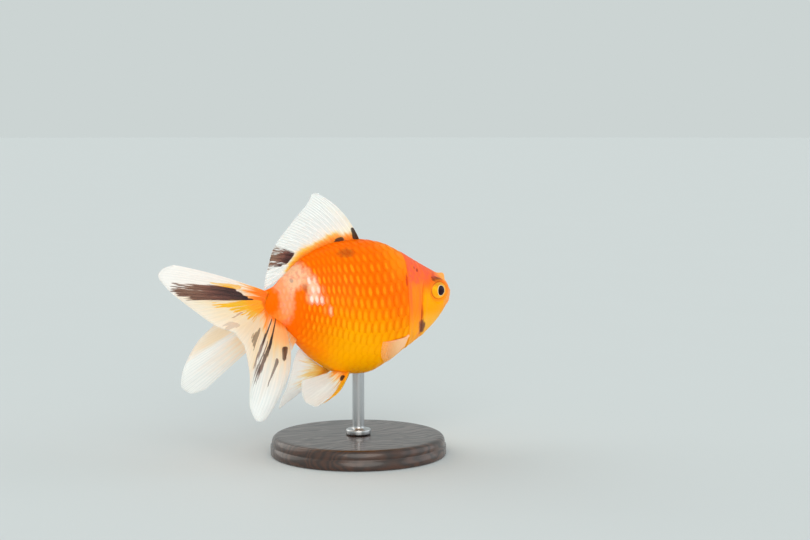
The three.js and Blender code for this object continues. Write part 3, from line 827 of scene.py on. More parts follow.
def build_skin(settings):
    """One closed surface from snout to tail base, with gill covers, mouth, nostrils and lids."""
    head_rows, trunk_rows, columns = 176, 96, 320
    head_end = 37 * MM
    start = 0.03 * MM
    stations = np.concatenate([
        start + (head_end - start) * np.linspace(0, 1, head_rows) ** 1.35,
        np.linspace(head_end, STANDARD_LENGTH, trunk_rows + 1)[1:],
    ])
    angles = 1.5 * math.pi - np.linspace(0, 2 * math.pi, columns, endpoint=False)
    behind, angle = np.meshgrid(stations, angles, indexing="ij")
    points = body_point(behind, angle)
    place = places_of(points)
    relief, fold = skin_relief(place, np.sin(angle))
    none = 0 * behind
    middles = np.stack([points[..., 0], none, MOUTH_HEIGHT + none], -1)
    normals = outward_normals(points, middles)
    ring = none
    for side in (1, -1):
        points, lid_ring = with_eye_socket(points, side)
        ring = ring + lid_ring
    points = points + normals * relief[..., None]

    rear_dome = 0.6 * MM
    ends = np.array([
        points[0].mean(0) + np.array([start, 0, 0]),
        points[-1].mean(0) - np.array([rear_dome, 0, 0]),
    ])
    rows = len(stations)
    faces, corners = tube_faces(rows, columns)
    levels = 0.01 + 0.98 * np.arange(rows + 2) / (rows + 1)
    new_piece(
        "fish_skin",
        np.concatenate([points.reshape(-1, 3), ends]),
        faces,
        tube_chart(corners, columns, levels),
        skin_material(settings),
        ["head", "lower_jaw", "gill_cover_left", "gill_cover_right", "trunk", "tail_peduncle"],
        {
            "place": np.concatenate([place.reshape(-1, 3), places_of(ends)]),
            "fold": np.append(fold.ravel(), [0, 0]),
            "ring": np.append(np.clip(ring, 0, 1).ravel(), [0, 0]),
        },
    )


# ---------------------------------------------------------------- the scales

# Row spacing and the pitch along a row, in millimetres, at distances behind the snout.
ROW_SPACING = smooth_curve([26, 38, 56, 66, 74, 82, 91], [4.6, 5.1, 5.0, 4.4, 3.8, 3.0, 2.3])
SCALE_PITCH = smooth_curve(
    [20, 36, 45, 52, 58, 64, 70, 91],
    [3.8, 3.9, 3.5, 2.9, 2.45, 1.95, 1.75, 1.6],
)
# The lateral line's place above the widest line, in degrees round the body.
LATERAL_LINE = smooth_curve([20, 52, 60, 66, 74, 91], [0, 0, 3, 5, 3, 0])
# A scale's length as a multiple of its pitch, its half width as a share of the rows' spacing, the
# spacing from which scales have their full thickness and dome, how far behind the snout the last
# one may end, the number of the rows along the back and the keel, and where the rear pieces start.
SCALE_LENGTH = 1.95
SCALE_HALF_WIDTH = 0.665
FULL_SPACING = 4.8
LAST_SCALE_END = 92.5
RIDGE_ROW = 15
REAR_START = 52


class ArcTable:
    """Finds the angle round the body that lies an arc's length below the lateral line."""

    step = 0.5

    def __init__(self):
        self.stations = np.arange(20, 91.01, self.step)
        self.arcs = np.arange(-70, 75.01, self.step)
        angles = np.radians(np.linspace(30, 330, 601))
        self.angle = []
        self.back, self.belly = [], []
        for behind in self.stations:
            points = body_point(behind * MM, angles)
            steps = np.linalg.norm(np.diff(points, axis=0), axis=1) / MM
            run = np.concatenate([[0], np.cumsum(steps)])
            line = math.radians(180 - float(LATERAL_LINE(behind)))
            run = run - np.interp(line, angles, run)
            self.angle.append(np.interp(self.arcs, run, angles))
            self.back.append(np.interp(math.pi / 2, angles, run))
            self.belly.append(np.interp(1.5 * math.pi, angles, run))
        self.angle = np.array(self.angle)

    def at(self, behind, arc):
        f = np.clip((behind - self.stations[0]) / self.step, 0, len(self.stations) - 1.001)
        g = np.clip((arc - self.arcs[0]) / self.step, 0, len(self.arcs) - 1.001)
        i, j = f.astype(int), g.astype(int)
        s, t = f - i, g - j
        low = self.angle[i, j] * (1 - t) + self.angle[i, j + 1] * t
        high = self.angle[i + 1, j] * (1 - t) + self.angle[i + 1, j + 1] * t
        return low * (1 - s) + high * s

    def midlines(self, behind):
        """The arcs at which the midlines of the back and of the belly lie."""
        back = np.interp(behind, self.stations, self.back)
        return back, np.interp(behind, self.stations, self.belly)


def scale_lattice(table):
    """Each scale of one side: row, column, behind the snout and arc below the lateral line."""
    stations = [21.0]
    while stations[-1] < 90:
        stations.append(stations[-1] + float(SCALE_PITCH(stations[-1])) / 2)
    scales = []
    for row in range(1 - RIDGE_ROW, RIDGE_ROW):
        for column, front in enumerate(stations):
            if (column + row) % 2:
                continue
            pitch, spacing = float(SCALE_PITCH(front)), float(ROW_SPACING(front))
            arc = row * spacing
            back, belly = table.midlines(front + pitch)
            if not back + 0.12 * spacing < arc < belly - 0.3 * spacing:
                continue
            length = SCALE_LENGTH * pitch
            bare = np.array(front + 0.7 * length)
            middle = places_of(body_point(bare * MM, table.at(bare, np.array(arc))))
            if beyond_arc(middle, GILL_EDGE) < -0.2 or front + length > LAST_SCALE_END:
                continue
            scales.append((row, column, front, arc, length, spacing))
    return np.array(scales), stations


def midline_scales(table, stations):
    """The scales along the ridge of the back and along the keel of the belly."""
    scales = []
    for row, front, end in ((-RIDGE_ROW, 27.0, 88.6), (RIDGE_ROW, 25.0, 76.0)):
        while front < end:
            pitch, spacing = float(SCALE_PITCH(front)), float(ROW_SPACING(front))
            back, belly = table.midlines(front + pitch)
            column = np.interp(front, stations, np.arange(len(stations)))
            arc = back if row < 0 else belly
            scales.append((row, column, front, arc, SCALE_LENGTH * pitch, spacing))
            front += pitch
    return np.array(scales)


def scale_plate(sides=26):
    """A round lens-shaped plate's points and its faces.

    Each point: along and across the plate (0 to 1, -1 to 1), its radius, and 1 on the underside.
    The triangles of the upper side come first, then as many of the underside.
    """
    rings = np.array([0.28, 0.52, 0.72, 0.86, 0.95, 1.0])
    turn = np.linspace(0, 2 * math.pi, sides, endpoint=False)
    cosine = np.sign(np.cos(turn)) * np.abs(np.cos(turn)) ** 0.88
    sine = np.sign(np.sin(turn)) * np.abs(np.sin(turn)) ** 0.88
    upper_along = (0.5 + 0.5 * rings[:, None] * cosine).ravel()
    along = np.concatenate([[0.5], upper_along, 0.5 + 0.5 * cosine, [0.5]])
    across = np.concatenate([[0], (rings[:, None] * sine).ravel(), sine, [0]])
    radius = np.concatenate([[0], np.repeat(rings, sides), np.ones(sides), [0]])
    below = np.concatenate([np.zeros(1 + len(rings) * sides), np.ones(sides + 1)])
    j = np.arange(sides)
    k = (j + 1) % sides
    quads = []
    for ring in range(len(rings)):
        low = 1 + ring * sides
        quads.append(np.stack([low + j, low + sides + j, low + sides + k, low + k], -1))
    rim = 1 + len(rings) * sides
    upper = np.stack([np.zeros(sides, int), 1 + j, 1 + k], -1)
    under = np.stack([np.full(sides, rim + sides), rim + k, rim + j], -1)
    return (along, across, radius, below), np.concatenate([upper, under]), np.concatenate(quads)


def scale_points(settings, table, plate, scales, nudge):
    """Right-hand scales' points, the places of their bare parts, and where each point lies."""
    along, across, radius, below = plate
    row, _, front, arc, length, spacing = scales.T[:, :, None]
    behind = front + along * length + nudge[:, 1:2]
    slide = arc * (ROW_SPACING(np.clip(behind, 26, 91)) / spacing - 1)
    width = SCALE_HALF_WIDTH * spacing * (1 + nudge[:, :1])
    sideways = across * width * (1 + 0.1 * (0.5 - along))
    angle = table.at(behind, arc + np.where(np.abs(row) < RIDGE_ROW, slide, 0) + sideways)

    thickness = settings.thickness / MM
    lift = -settings.front_depth / MM * (1 - along) - 0.02
    dome = settings.dome / MM * (1 - radius**2) * (0.4 + along)
    edge = 0.45 * thickness * radius**8
    top = lift + dome - edge * (1 - below) + 0.04 * nudge[:, 2:3]
    bare = front + 0.75 * length
    root = places_of(body_point(bare * MM, table.at(bare, arc)))
    size = np.clip(spacing / FULL_SPACING, 0.45, 1)
    size = size * (1 - 0.5 * smoothstep(root[..., 2], -9, -20))
    points = body_point(behind * MM, angle, (top - thickness * below) * size * MM)
    return points, root, places_of(body_point(behind * MM, angle))


def build_scales(settings, look):
    """Overlapping plates on a staggered lattice, joined into a front and a rear piece a side.

    The left side mirrors the right one's lattice. The ridge and keel rows go with the right.
    """
    table = ArcTable()
    lattice, stations = scale_lattice(table)
    midlines = midline_scales(table, stations)
    plate, triangles, quads = scale_plate()
    along, across, _, below = plate
    half = len(triangles) // 2
    material = scale_material(look)
    draw = np.random.default_rng(11)
    for mirror, name in ((1, "right"), (-1, "left")):
        scales = np.concatenate([lattice, midlines]) if name == "right" else lattice
        chance = draw.random(len(scales))
        nudge = draw.normal(0, 0.05, (len(scales), 3))
        in_rear = scales[:, 2] >= REAR_START
        for part, chosen in (("front", ~in_rear), ("rear", in_rear)):
            shapes = scale_points(settings, table, plate, scales[chosen], nudge[chosen])
            points, root, place = [shape * [1, mirror, 1] for shape in shapes]
            starts = np.arange(len(points))[:, None, None] * points.shape[1]
            all_triangles = triangles[None, :, ::mirror] + starts
            all_quads = quads[None, :, ::mirror] + starts
            upper, under = scale_charts(scales[chosen], along, across, below)
            discs = [upper[all_triangles[:, :half]], under[all_triangles[:, half:]]]
            uvs = np.concatenate(discs, 1).reshape(-1, 2)
            own = np.stack(np.broadcast_arrays(along, across, chance[chosen][:, None]), -1)
            new_piece(
                f"scales_{name}_{part}",
                points.reshape(-1, 3),
                [all_triangles.reshape(-1, 3), all_quads.reshape(-1, 4)],
                np.concatenate([uvs, upper[all_quads].reshape(-1, 2)]),
                material,
                [],
                {
                    "place": place.reshape(-1, 3),
                    "root": np.broadcast_to(root, points.shape).reshape(-1, 3),
                    "plate": own.reshape(-1, 3),
                },
            )


def scale_charts(scales, along, across, below):
    """Each scale's patch, at its root's place on the unrolled side: its top, and its underside."""
    row, column = scales.T[:2, :, None]
    first, cells = column.min(), (column.max() - column.min()) / 2 + 1.2
    lowest, lines = row.min(), row.max() - row.min() + 1.2
    middle = [(column - first) / 2 + 0.6, row - lowest + 0.6]
    shape = [2 * along - 1, across]
    grow = np.where(below > 0, 0.49, 0.46)
    size = [cells, lines]
    upper = np.stack([(m + grow * s) / n for m, s, n in zip(middle, shape, size)], -1)
    under = np.stack([(m + 0.455 + 0.03 * s) / n for m, s, n in zip(middle, shape, size)], -1)
    return upper.reshape(-1, 2), under.reshape(-1, 2)


# ---------------------------------------------------------------- the eyes


def eye_material(settings):
    """Black lens in a thin pale rim, then a gold iris with fine spokes and a dark outer edge."""
    material, nodes = new_material("Goldfish Eye")
    from_axis, turn_x, turn_y = nodes.parts(nodes.attribute("iris"))
    in_pupil = from_axis * (turn_x * turn_x * 1.2 + 1) ** 0.5
    pupil_edge = math.asin(settings.pupil_diameter / 2 / (EYE["radius"] * MM))
    iris_edge = math.asin(settings.iris_diameter / 2 / (EYE["radius"] * MM))
    where = nodes.join(turn_x * 5, turn_y * 5, from_axis * 2)
    spokes = nodes.noise(where, 3.0, 4.0, 0.6)
    blotch = nodes.noise(nodes.join(turn_x, turn_y, from_axis), 2.6, 2.0)
    gold = nodes.mix(nodes.ramp(spokes, 0.35, 0.7), settings.iris_colour, settings.iris_light)
    shade = nodes.ramp(turn_y + (blotch - 0.5) * 1.2, 0.35, 1.1)
    gold = nodes.mix(shade * 0.55, gold, settings.iris_shade)
    edge = from_axis + (spokes - 0.5) * 0.03
    gold = nodes.mix(nodes.ramp(edge, iris_edge - 0.03, iris_edge + 0.1), gold, settings.iris_rim)
    rim = nodes.ramp(in_pupil, pupil_edge + 0.07, pupil_edge + 0.04)
    colour = nodes.mix(rim * 0.9, gold, settings.pupil_rim)
    inside = nodes.ramp(in_pupil, pupil_edge + 0.012, pupil_edge - 0.012)
    colour = nodes.mix(inside, colour, settings.pupil_colour)
    nodes.finish(
        base_color=colour,
        roughness=0.32 - inside * 0.22,
        metallic=(1 - inside) * 0.25,
        normal=nodes.bump(spokes * (1 - inside), 0.08 * MM, 0.5),
        specular_level=0.08,
        coat_weight=0.7,
        coat_roughness=0.03,
        coat_ior=1.2,
    )
    return material


def eyeball_points(settings, side, polar, turn):
    """A ball with a bulging lens and a dished iris, flattened and stretched, and its two poles."""
    radius = EYE["radius"] * MM
    lens_rise, iris_dish = 0.16 * MM, 0.14 * MM
    pupil_edge = math.asin(settings.pupil_diameter / 2 / radius)
    up = np.array([0.0, 0.0, 1.0])
    axis = eye_axis(side, settings.pupil_forward)
    back = np.cross(axis, up) * side
    lens = lens_rise * np.sqrt(np.clip(1 - (polar / pupil_edge) ** 2, 0, 1))
    dish = iris_dish * bell(polar - pupil_edge - 0.22, 0.16)
    ring = np.cos(turn)[..., None] * back + np.sin(turn)[..., None] * up
    ways = np.cos(polar)[..., None] * axis + np.sin(polar)[..., None] * ring
    offset = (radius + lens - dish)[..., None] * ways
    poles = [axis * (radius + lens_rise), -axis * radius]

    outward = eye_axis(side, EYE["forward"])
    lengthwise = np.cross(outward, up)
    stretches = [(settings.flatness, outward), (EYE["long"], lengthwise), (EYE["tall"], up)]
    shape = np.eye(3)
    for stretch, way in stretches:
        shape = shape + (stretch - 1) * np.outer(way, way)
    centre = eye_socket(side) + outward * (settings.bulge - radius * settings.flatness)
    return centre + np.concatenate([offset.reshape(-1, 3), poles]) @ shape


def eye_chart(faces, polar, turn):
    """A round bake map with the pupil in its middle and the back of the eye round the edge."""
    wall, front_fan, rear_fan = faces
    count, columns = polar.size, polar.shape[1]
    reach = 0.48 * (polar / math.pi) ** 0.7
    chart = 0.5 + reach[..., None] * np.stack([np.cos(turn), np.sin(turn)], -1)
    chart = np.concatenate([chart.reshape(-1, 2), [[0.5, 0.5]]])
    middle = 2 * math.pi * (np.arange(columns) + 0.5) / columns
    rear = chart[np.minimum(rear_fan, count)]
    rear[rear_fan > count] = 0.5 + 0.495 * np.stack([np.cos(middle), np.sin(middle)], -1)
    return np.concatenate([chart[wall.ravel()], chart[front_fan.ravel()], rear.reshape(-1, 2)])


def build_eyes(settings):
    """Glass eyes, with the pupil turned further forward than the socket."""
    material = eye_material(settings)
    rows, columns = 72, 96
    polar = np.linspace(0, math.pi, rows + 2)[1:-1]
    turn = np.linspace(0, 2 * math.pi, columns, endpoint=False)
    polar, turn = np.meshgrid(polar, turn, indexing="ij")
    iris = np.stack([polar, np.cos(turn), np.sin(turn)], -1).reshape(-1, 3)
    iris = np.concatenate([iris, [[0, 0, 0], [math.pi, 0, 0]]])
    for side, name in ((1, "left"), (-1, "right")):
        faces = tube_faces(rows, columns, flipped=side < 0)[0]
        new_piece(
            f"eyeball_{name}",
            eyeball_points(settings, side, polar, turn),
            faces,
            eye_chart(faces, polar, turn),
            material,
            [f"eye_{name}"],
            {"iris": iris},
        )


# ---------------------------------------------------------------- the fins


def pushed_out(points, outset):
    """Moves points that are closer to the body than the outset straight out to it."""
    behind = np.minimum(SNOUT_X - points[..., 0], STANDARD_LENGTH)
    back, belly, half_width, widest = section_at(behind)
    rise = points[..., 2] - MOUTH_HEIGHT - widest
    reach = np.where(rise >= 0, back - widest, widest - belly) + outset
    share = np.hypot(points[..., 1] / (half_width + outset), rise / reach)
    grow = np.where(share < 1, 1 / np.maximum(share, 1e-6), 1.0)
    moved = points.copy()
    moved[..., 1] = points[..., 1] * grow
    moved[..., 2] = MOUTH_HEIGHT + widest + rise * grow
    return moved


def standing_off(near_root, at_tip):
    """A fin's clearance from the body: inside it at the root, then outside it."""
    root_zone = 0.12

    def clearance(v):
        rooted = -1 + (near_root + 1) * v / root_zone
        return np.where(v < root_zone, rooted, near_root + (at_tip - near_root) * v) * MM

    return clearance


def between(pair, u):
    """What runs from the first of a pair to the second as u goes from 0 to 1."""
    return pair[0] + (pair[1] - pair[0]) * u


def dorsal_base(u):
    """The dorsal fin's root, just inside the ridge of the back."""
    behind = between(DORSAL_BASE["behind"], u) * MM
    level = section_at(behind)[0] - DORSAL_BASE["inside"] * MM
    return np.stack([SNOUT_X - behind, 0 * u, MOUTH_HEIGHT + level], -1)


def tail_base(side):
    """The root of one half of the tail, down the end of the body."""
    behind_at = smooth_curve([0, 0.5, 1], TAIL_BASE["behind"])
    level_at = smooth_curve([0, 0.5, 1], TAIL_BASE["level"])

    def base(u):
        out = side * TAIL_BASE["side"] * MM + 0 * u
        return np.stack([SNOUT_X - behind_at(u) * MM, out, MOUTH_HEIGHT + level_at(u) * MM], -1)

    return base


def belly_base(where, side):
    """The root of a fin under the belly."""

    def base(u):
        behind, out = between(where["behind"], u) * MM, between(where["side"], u) * MM
        belly, half_width, widest = section_at(behind)[1:]
        drop = (1 - (out / half_width) ** 2) ** (1 / ROUND_BELOW)
        level = widest - (widest - belly - where["inside"] * MM) * drop
        return np.stack([SNOUT_X - behind, side * out, MOUTH_HEIGHT + level], -1)

    return base


def flank_base(where, side):
    """The root of a fin on the flank, placed by its angle round the body."""

    def base(u):
        angle = np.radians(between(where["around"], u))
        points = body_point(between(where["behind"], u) * MM, angle, -where["inside"] * MM)
        return points * [1, side, 1]

    return base


def fin_sheet(fin, u, v):
    """The fin's middle sheet at places along its base (u) and out along its rays (v)."""
    places, *values = np.array(fin["rays"], float).T
    length_at, lift_at, flare_at, bow_at, curl_at = [smooth_curve(places, row) for row in values]
    side = fin["side"]
    lift, flare = np.radians(lift_at(u)), np.radians(flare_at(u))
    none = 0 * u
    level = np.stack([-np.cos(flare), side * np.sin(flare), none], -1)
    upright = np.array([0.0, 0.0, 1.0])
    along = level * np.cos(lift)[..., None] + upright * np.sin(lift)[..., None]
    outward = np.stack([np.sin(flare), side * np.cos(flare), none], -1)
    raised = upright * np.cos(lift)[..., None] - level * np.sin(lift)[..., None]
    bowed = raised * bow_at(u)[..., None] + outward * curl_at(u)[..., None]
    ray = ray_profile(u, v, fin["count"])
    tips = 1 - fin["scallop"] * (1 - ray) * smoothstep(v, 0.7, 1)
    length = (length_at(u) * MM * tips)[..., None]
    points = fin["base"](u) + length * v[..., None] * along
    points = points + length * (4 * v * (1 - v))[..., None] * bowed
    wave = fin["wave"] * MM * v**1.6 * np.sin(2 * math.pi * (fin["waves"] * u + 0.35 * v + 0.1))
    points = points + wave[..., None] * outward
    if "clearance" in fin:
        points = np.where((v > 0)[..., None], pushed_out(points, fin["clearance"](v)), points)
    return points


def ray_profile(u, v, count):
    """How strongly a place is on a ray, 0 to 1. Rays part in two and then in four to the tip."""
    place = u * (count - 1) + 0.5
    number = np.floor(place)
    off = place - number - 0.5
    vary = 0.06 * np.sin(number * 2.4)
    first = 0.25 * smoothstep(v, 0.34 + vary, 0.8 + vary)
    second = 0.115 * smoothstep(v, 0.62 - vary, 1.0)
    away = np.abs(np.abs(np.abs(off) - first) - second)
    width = 0.15 - 0.085 * smoothstep(v, 0.1, 0.9)
    return bell(away, width)


def fin_chart(u, v, faces, border, following):
    """A bake map with a fin's two faces side by side, and its rim as a thin strip round each."""
    size, near_corner, far_corner = [0.47, 0.96], [0.01, 0.02], [0.51, 0.02]
    spread = np.stack([u, v], -1).reshape(-1, 2)
    chart = np.concatenate([spread * size + near_corner, spread * size + far_corner])
    uvs = chart[np.concatenate([side.ravel() for side in faces])]
    first, second = chart[border], chart[following]
    middle = np.array([0.245, 0.5])
    outer = [corner + (corner - middle) * 0.016 for corner in (first, second)]
    rim = np.stack([first, second, outer[1], outer[0]], 1)[:, ::-1]
    return np.concatenate([uvs, rim.reshape(-1, 2)])


def build_fin(name, fin, settings, material, replaced):
    """A closed web of even thinness, with raised rays and a fleshy root."""
    columns, rows = fin["count"] * COLUMNS_PER_RAY + 1, fin["steps"]
    u = np.linspace(0, 1, columns)
    v = np.linspace(0, 1, rows) ** 0.9
    u, v = np.meshgrid(u, v, indexing="ij")
    sheet = fin_sheet(fin, u, v)
    across = np.gradient(sheet, axis=0)
    out = np.gradient(sheet, axis=1)
    normals = np.cross(across, out)
    normals /= np.maximum(np.linalg.norm(normals, axis=-1, keepdims=True), 1e-12)
    ray = ray_profile(u, v, fin["count"])
    spine = bell(u, 0.5 / fin["count"]) * fin["spine"] * (1 - 0.6 * v)
    flesh = fin["root"] / 2 * (1 - smoothstep(v, 0.0, fin["flesh"]))
    half = settings.web_thickness / 2 + flesh * MM + spine * MM
    half = half + settings.ray_relief * ray * (1 - 0.55 * v)
    half = half * (1 - 0.7 * smoothstep(v, 0.985, 1.0))
    stand = normals * half[..., None]
    points = np.concatenate([side.reshape(-1, 3) for side in (sheet + stand, sheet - stand)])
    size = columns * rows
    near = grid_faces(columns, rows, flipped=True)[0]
    far = grid_faces(columns, rows, start=size)[0]
    index = np.arange(size).reshape(columns, rows)
    border = np.concatenate([index[:-1, 0], index[-1, :-1], index[:0:-1, -1], index[0, :0:-1]])
    following = np.roll(border, -1)
    rim = np.stack([border, following, following + size, border + size], -1)[:, ::-1]
    fin_place = np.stack([u, v, ray], -1).reshape(-1, 3)
    new_piece(
        name,
        points,
        [near, far, rim],
        fin_chart(u, v, (near, far), border, following),
        material,
        replaced,
        {"fin": np.concatenate([fin_place, fin_place])},
    )


# Strokes of colour on the fins, where u runs along a fin's base and v out along its rays: from
# (u, v) to (u, v), half width in u at both ends, colour, strength, and how far the rays fray it.
BLACK = srgb(30, 16, 16)
BROWN = srgb(122, 80, 66)
GREY = srgb(150, 136, 126)
OLIVE = srgb(104, 94, 70)
YELLOW = srgb(252, 180, 34)
AMBER = srgb(252, 158, 18)
PEACH = srgb(255, 196, 148)
PINK = srgb(252, 220, 206)

DORSAL_STROKES = [
    ((0.035, 0.05), (0.01, 0.18), 0.045, 0.032, BLACK, 0.95, 0.15),
    ((0.27, 0.055), (0.25, 0.075), 0.075, 0.07, BLACK, 0.9, 0.2),
    ((0.81, 0.37), (0.8, 0.98), 0.07, 0.075, BLACK, 1.0, 0.7),
    ((0.875, 0.55), (0.865, 0.98), 0.014, 0.014, BLACK, 0.85, 0.7),
]
TAIL_RIGHT_STROKES = [
    ((0.275, 0.2), (0.26, 0.8), 0.022, 0.03, BLACK, 1.0, 0.5),
    ((0.24, 0.25), (0.245, 0.8), 0.03, 0.03, BLACK, 1.0, 0.5),
    ((0.205, 0.3), (0.236, 0.9), 0.045, 0.04, BLACK, 1.0, 0.6),
    ((0.165, 0.36), (0.2, 0.84), 0.05, 0.035, BLACK, 1.0, 0.7),
    ((0.1, 0.3), (0.125, 0.5), 0.04, 0.02, AMBER, 0.85, 0.4),
    ((0.34, 0.12), (0.335, 0.6), 0.06, 0.025, AMBER, 1.0, 0.8),
    ((0.41, 0.12), (0.395, 0.46), 0.06, 0.04, AMBER, 1.0, 0.8),
    ((0.475, 0.12), (0.48, 0.42), 0.05, 0.04, AMBER, 0.95, 0.8),
    ((0.47, 0.78), (0.47, 0.95), 0.018, 0.01, GREY, 0.55, 0.7),
    ((0.43, 0.46), (0.44, 0.6), 0.007, 0.004, BROWN, 0.6, 0.4),
    ((0.83, 0.045), (0.822, 0.3), 0.009, 0.014, BLACK, 0.95, 0.25),
    ((0.823, 0.27), (0.765, 0.66), 0.016, 0.02, BLACK, 0.95, 0.8),
    ((0.765, 0.62), (0.75, 0.8), 0.012, 0.005, BLACK, 0.6, 0.9),
    ((0.765, 0.076), (0.735, 0.34), 0.009, 0.014, BLACK, 0.95, 0.25),
    ((0.736, 0.3), (0.702, 0.64), 0.016, 0.018, BLACK, 0.85, 0.9),
    ((0.702, 0.62), (0.73, 0.76), 0.01, 0.005, BLACK, 0.55, 0.9),
    ((0.785, 0.32), (0.735, 0.68), 0.006, 0.009, BLACK, 0.8, 0.6),
    ((0.622, 0.4), (0.606, 0.66), 0.012, 0.03, OLIVE, 0.9, 0.7),
    ((0.953, 0.285), (0.947, 0.36), 0.026, 0.018, BLACK, 0.95, 0.22),
    ((0.897, 0.42), (0.87, 0.62), 0.012, 0.004, BLACK, 0.85, 0.35),
]
TAIL_LEFT_STROKES = [
    ((0.3, 0.0), (0.3, 0.45), 0.12, 0.05, YELLOW, 0.8, 0.8),
    ((0.46, 0.8), (0.46, 0.92), 0.012, 0.008, GREY, 0.5, 0.5),
    ((0.2, 0.3), (0.21, 0.8), 0.04, 0.02, BLACK, 0.9, 0.8),
]
PELVIC_RIGHT_STROKES = [
    ((0.02, 0.0), (0.0, 0.86), 0.3, 0.2, AMBER, 1.0, 0.25),
    ((0.3, 0.135), (0.3, 0.17), 0.14, 0.12, BLACK, 0.95, 0.2),
]
PECTORAL_STROKES = [((0.04, 0.0), (0.0, 0.9), 0.1, 0.04, PEACH, 0.8, 0.4)]
# Tints that fade outwards: colour, the range of u (a limit outside 0 to 1 counts for nothing),
# where they are full and gone in v, strength, and how far rays finger their edge.
DORSAL_TINTS = [
    (srgb(255, 240, 214), -1, 1.1, 0.2, 0.5, 0.7, 0.2),
    (srgb(255, 240, 214), -1, 0.12, 0.2, 1.0, 0.6, 0.2),
    (srgb(255, 186, 84), 0.6, 0.93, 0.2, 0.44, 0.85, 0.15),
    (YELLOW, 0.2, 0.97, 0.16, 0.29, 0.9, 0.1),
    (YELLOW, -1, 0.24, 0.09, 0.18, 0.9, 0.08),
    (srgb(255, 142, 12), 0.2, 0.97, 0.05, 0.21, 1.0, 0.1),
    (srgb(255, 142, 12), -1, 0.24, 0.05, 0.13, 1.0, 0.06),
]
TAIL_TINTS = [
    (PINK, -1, 0.3, 0.6, 1.6, 0.6, 0.1),
    (PEACH, 0.25, 0.72, 0.6, 1.6, 0.85, 0.2),
    (PEACH, -1, 2, 0.12, 0.5, 0.6, 0.2),
    (PEACH, 0.76, 2, 0.3, 0.9, 0.75, 0.2),
    (srgb(255, 168, 92), 0.76, 2, 0.08, 0.5, 0.85, 0.08),
    (srgb(255, 150, 30), -1, 0.72, 0.1, 0.28, 1.0, 0.3),
    (srgb(255, 120, 6), -1, 0.7, 0.06, 0.18, 1.0, 0.2),
    (srgb(255, 124, 8), 0.7, 2, 0.02, 0.1, 1.0, 0.05),
]
PELVIC_RIGHT_TINTS = [
    (srgb(242, 253, 238), -1, 2, 1.0, 2.0, 0.7, 0.1),
    (YELLOW, -1, 2, 0.14, 0.4, 0.8, 0.4),
    (srgb(255, 150, 24), -1, 2, 0.07, 0.27, 0.9, 0.4),
]
PELVIC_LEFT_TINTS = [
    (srgb(255, 252, 240), -1, 2, 1.2, 2.2, 0.9, 0.1),
    (YELLOW, 0.3, 2, 0.45, 0.9, 0.85, 0.5),
    (YELLOW, -1, 2, 0.2, 0.5, 0.75, 0.5),
    (srgb(255, 150, 24), -1, 2, 0.25, 0.6, 0.9, 0.5),
]
ANAL_TINTS = [(srgb(255, 150, 24), -1, 2, 0.1, 0.5, 0.9, 0.4)]
PECTORAL_TINTS = [
    (srgb(255, 194, 124), -1, 2, 0.9, 1.8, 0.95, 0.2),
    (srgb(255, 200, 160), -1, 2, 0.1, 0.7, 0.7, 0.3),
]
# The pectoral fins are a film that fades out towards its edge.
PECTORAL_LOOK = {
    "strokes": PECTORAL_STROKES,
    "tints": PECTORAL_TINTS,
    "clearer": 0.3,
    "glow": 0.1,
    "fade": (0.3, 0.2),
}
PELVIC_RIGHT_LOOK = {"strokes": PELVIC_RIGHT_STROKES, "tints": PELVIC_RIGHT_TINTS}
PELVIC_LEFT_LOOK = {"strokes": [], "tints": PELVIC_LEFT_TINTS}
ANAL_LOOK = {"strokes": [], "tints": ANAL_TINTS}


def stroke_mask(nodes, u, v, streaks, start, end, wide, narrow, frayed):
    """A mask of a stroke along the rays, which breaks up into streaks towards its tip."""
    (start_u, start_v), (end_u, end_v) = start, end
    along = ((v - start_v) / (end_v - start_v)).most(0.0).least(1.0)
    middle = along * (end_u - start_u) + start_u
    away = abs(u - middle) / (along * (narrow - wide) + wide)
    before = (start_v - v).most(0.0) / (0.02 + 0.06 * frayed)
    beyond = (v - end_v).most(0.0) / (0.02 + 0.1 * frayed)
    far = away * away + before * before + beyond * beyond
    broken = far + (streaks - 0.5) * (along * 2.6 + 0.9) * (2.6 * frayed) + along * 0.35 * frayed
    return nodes.ramp(broken, 1.15, 0.7)


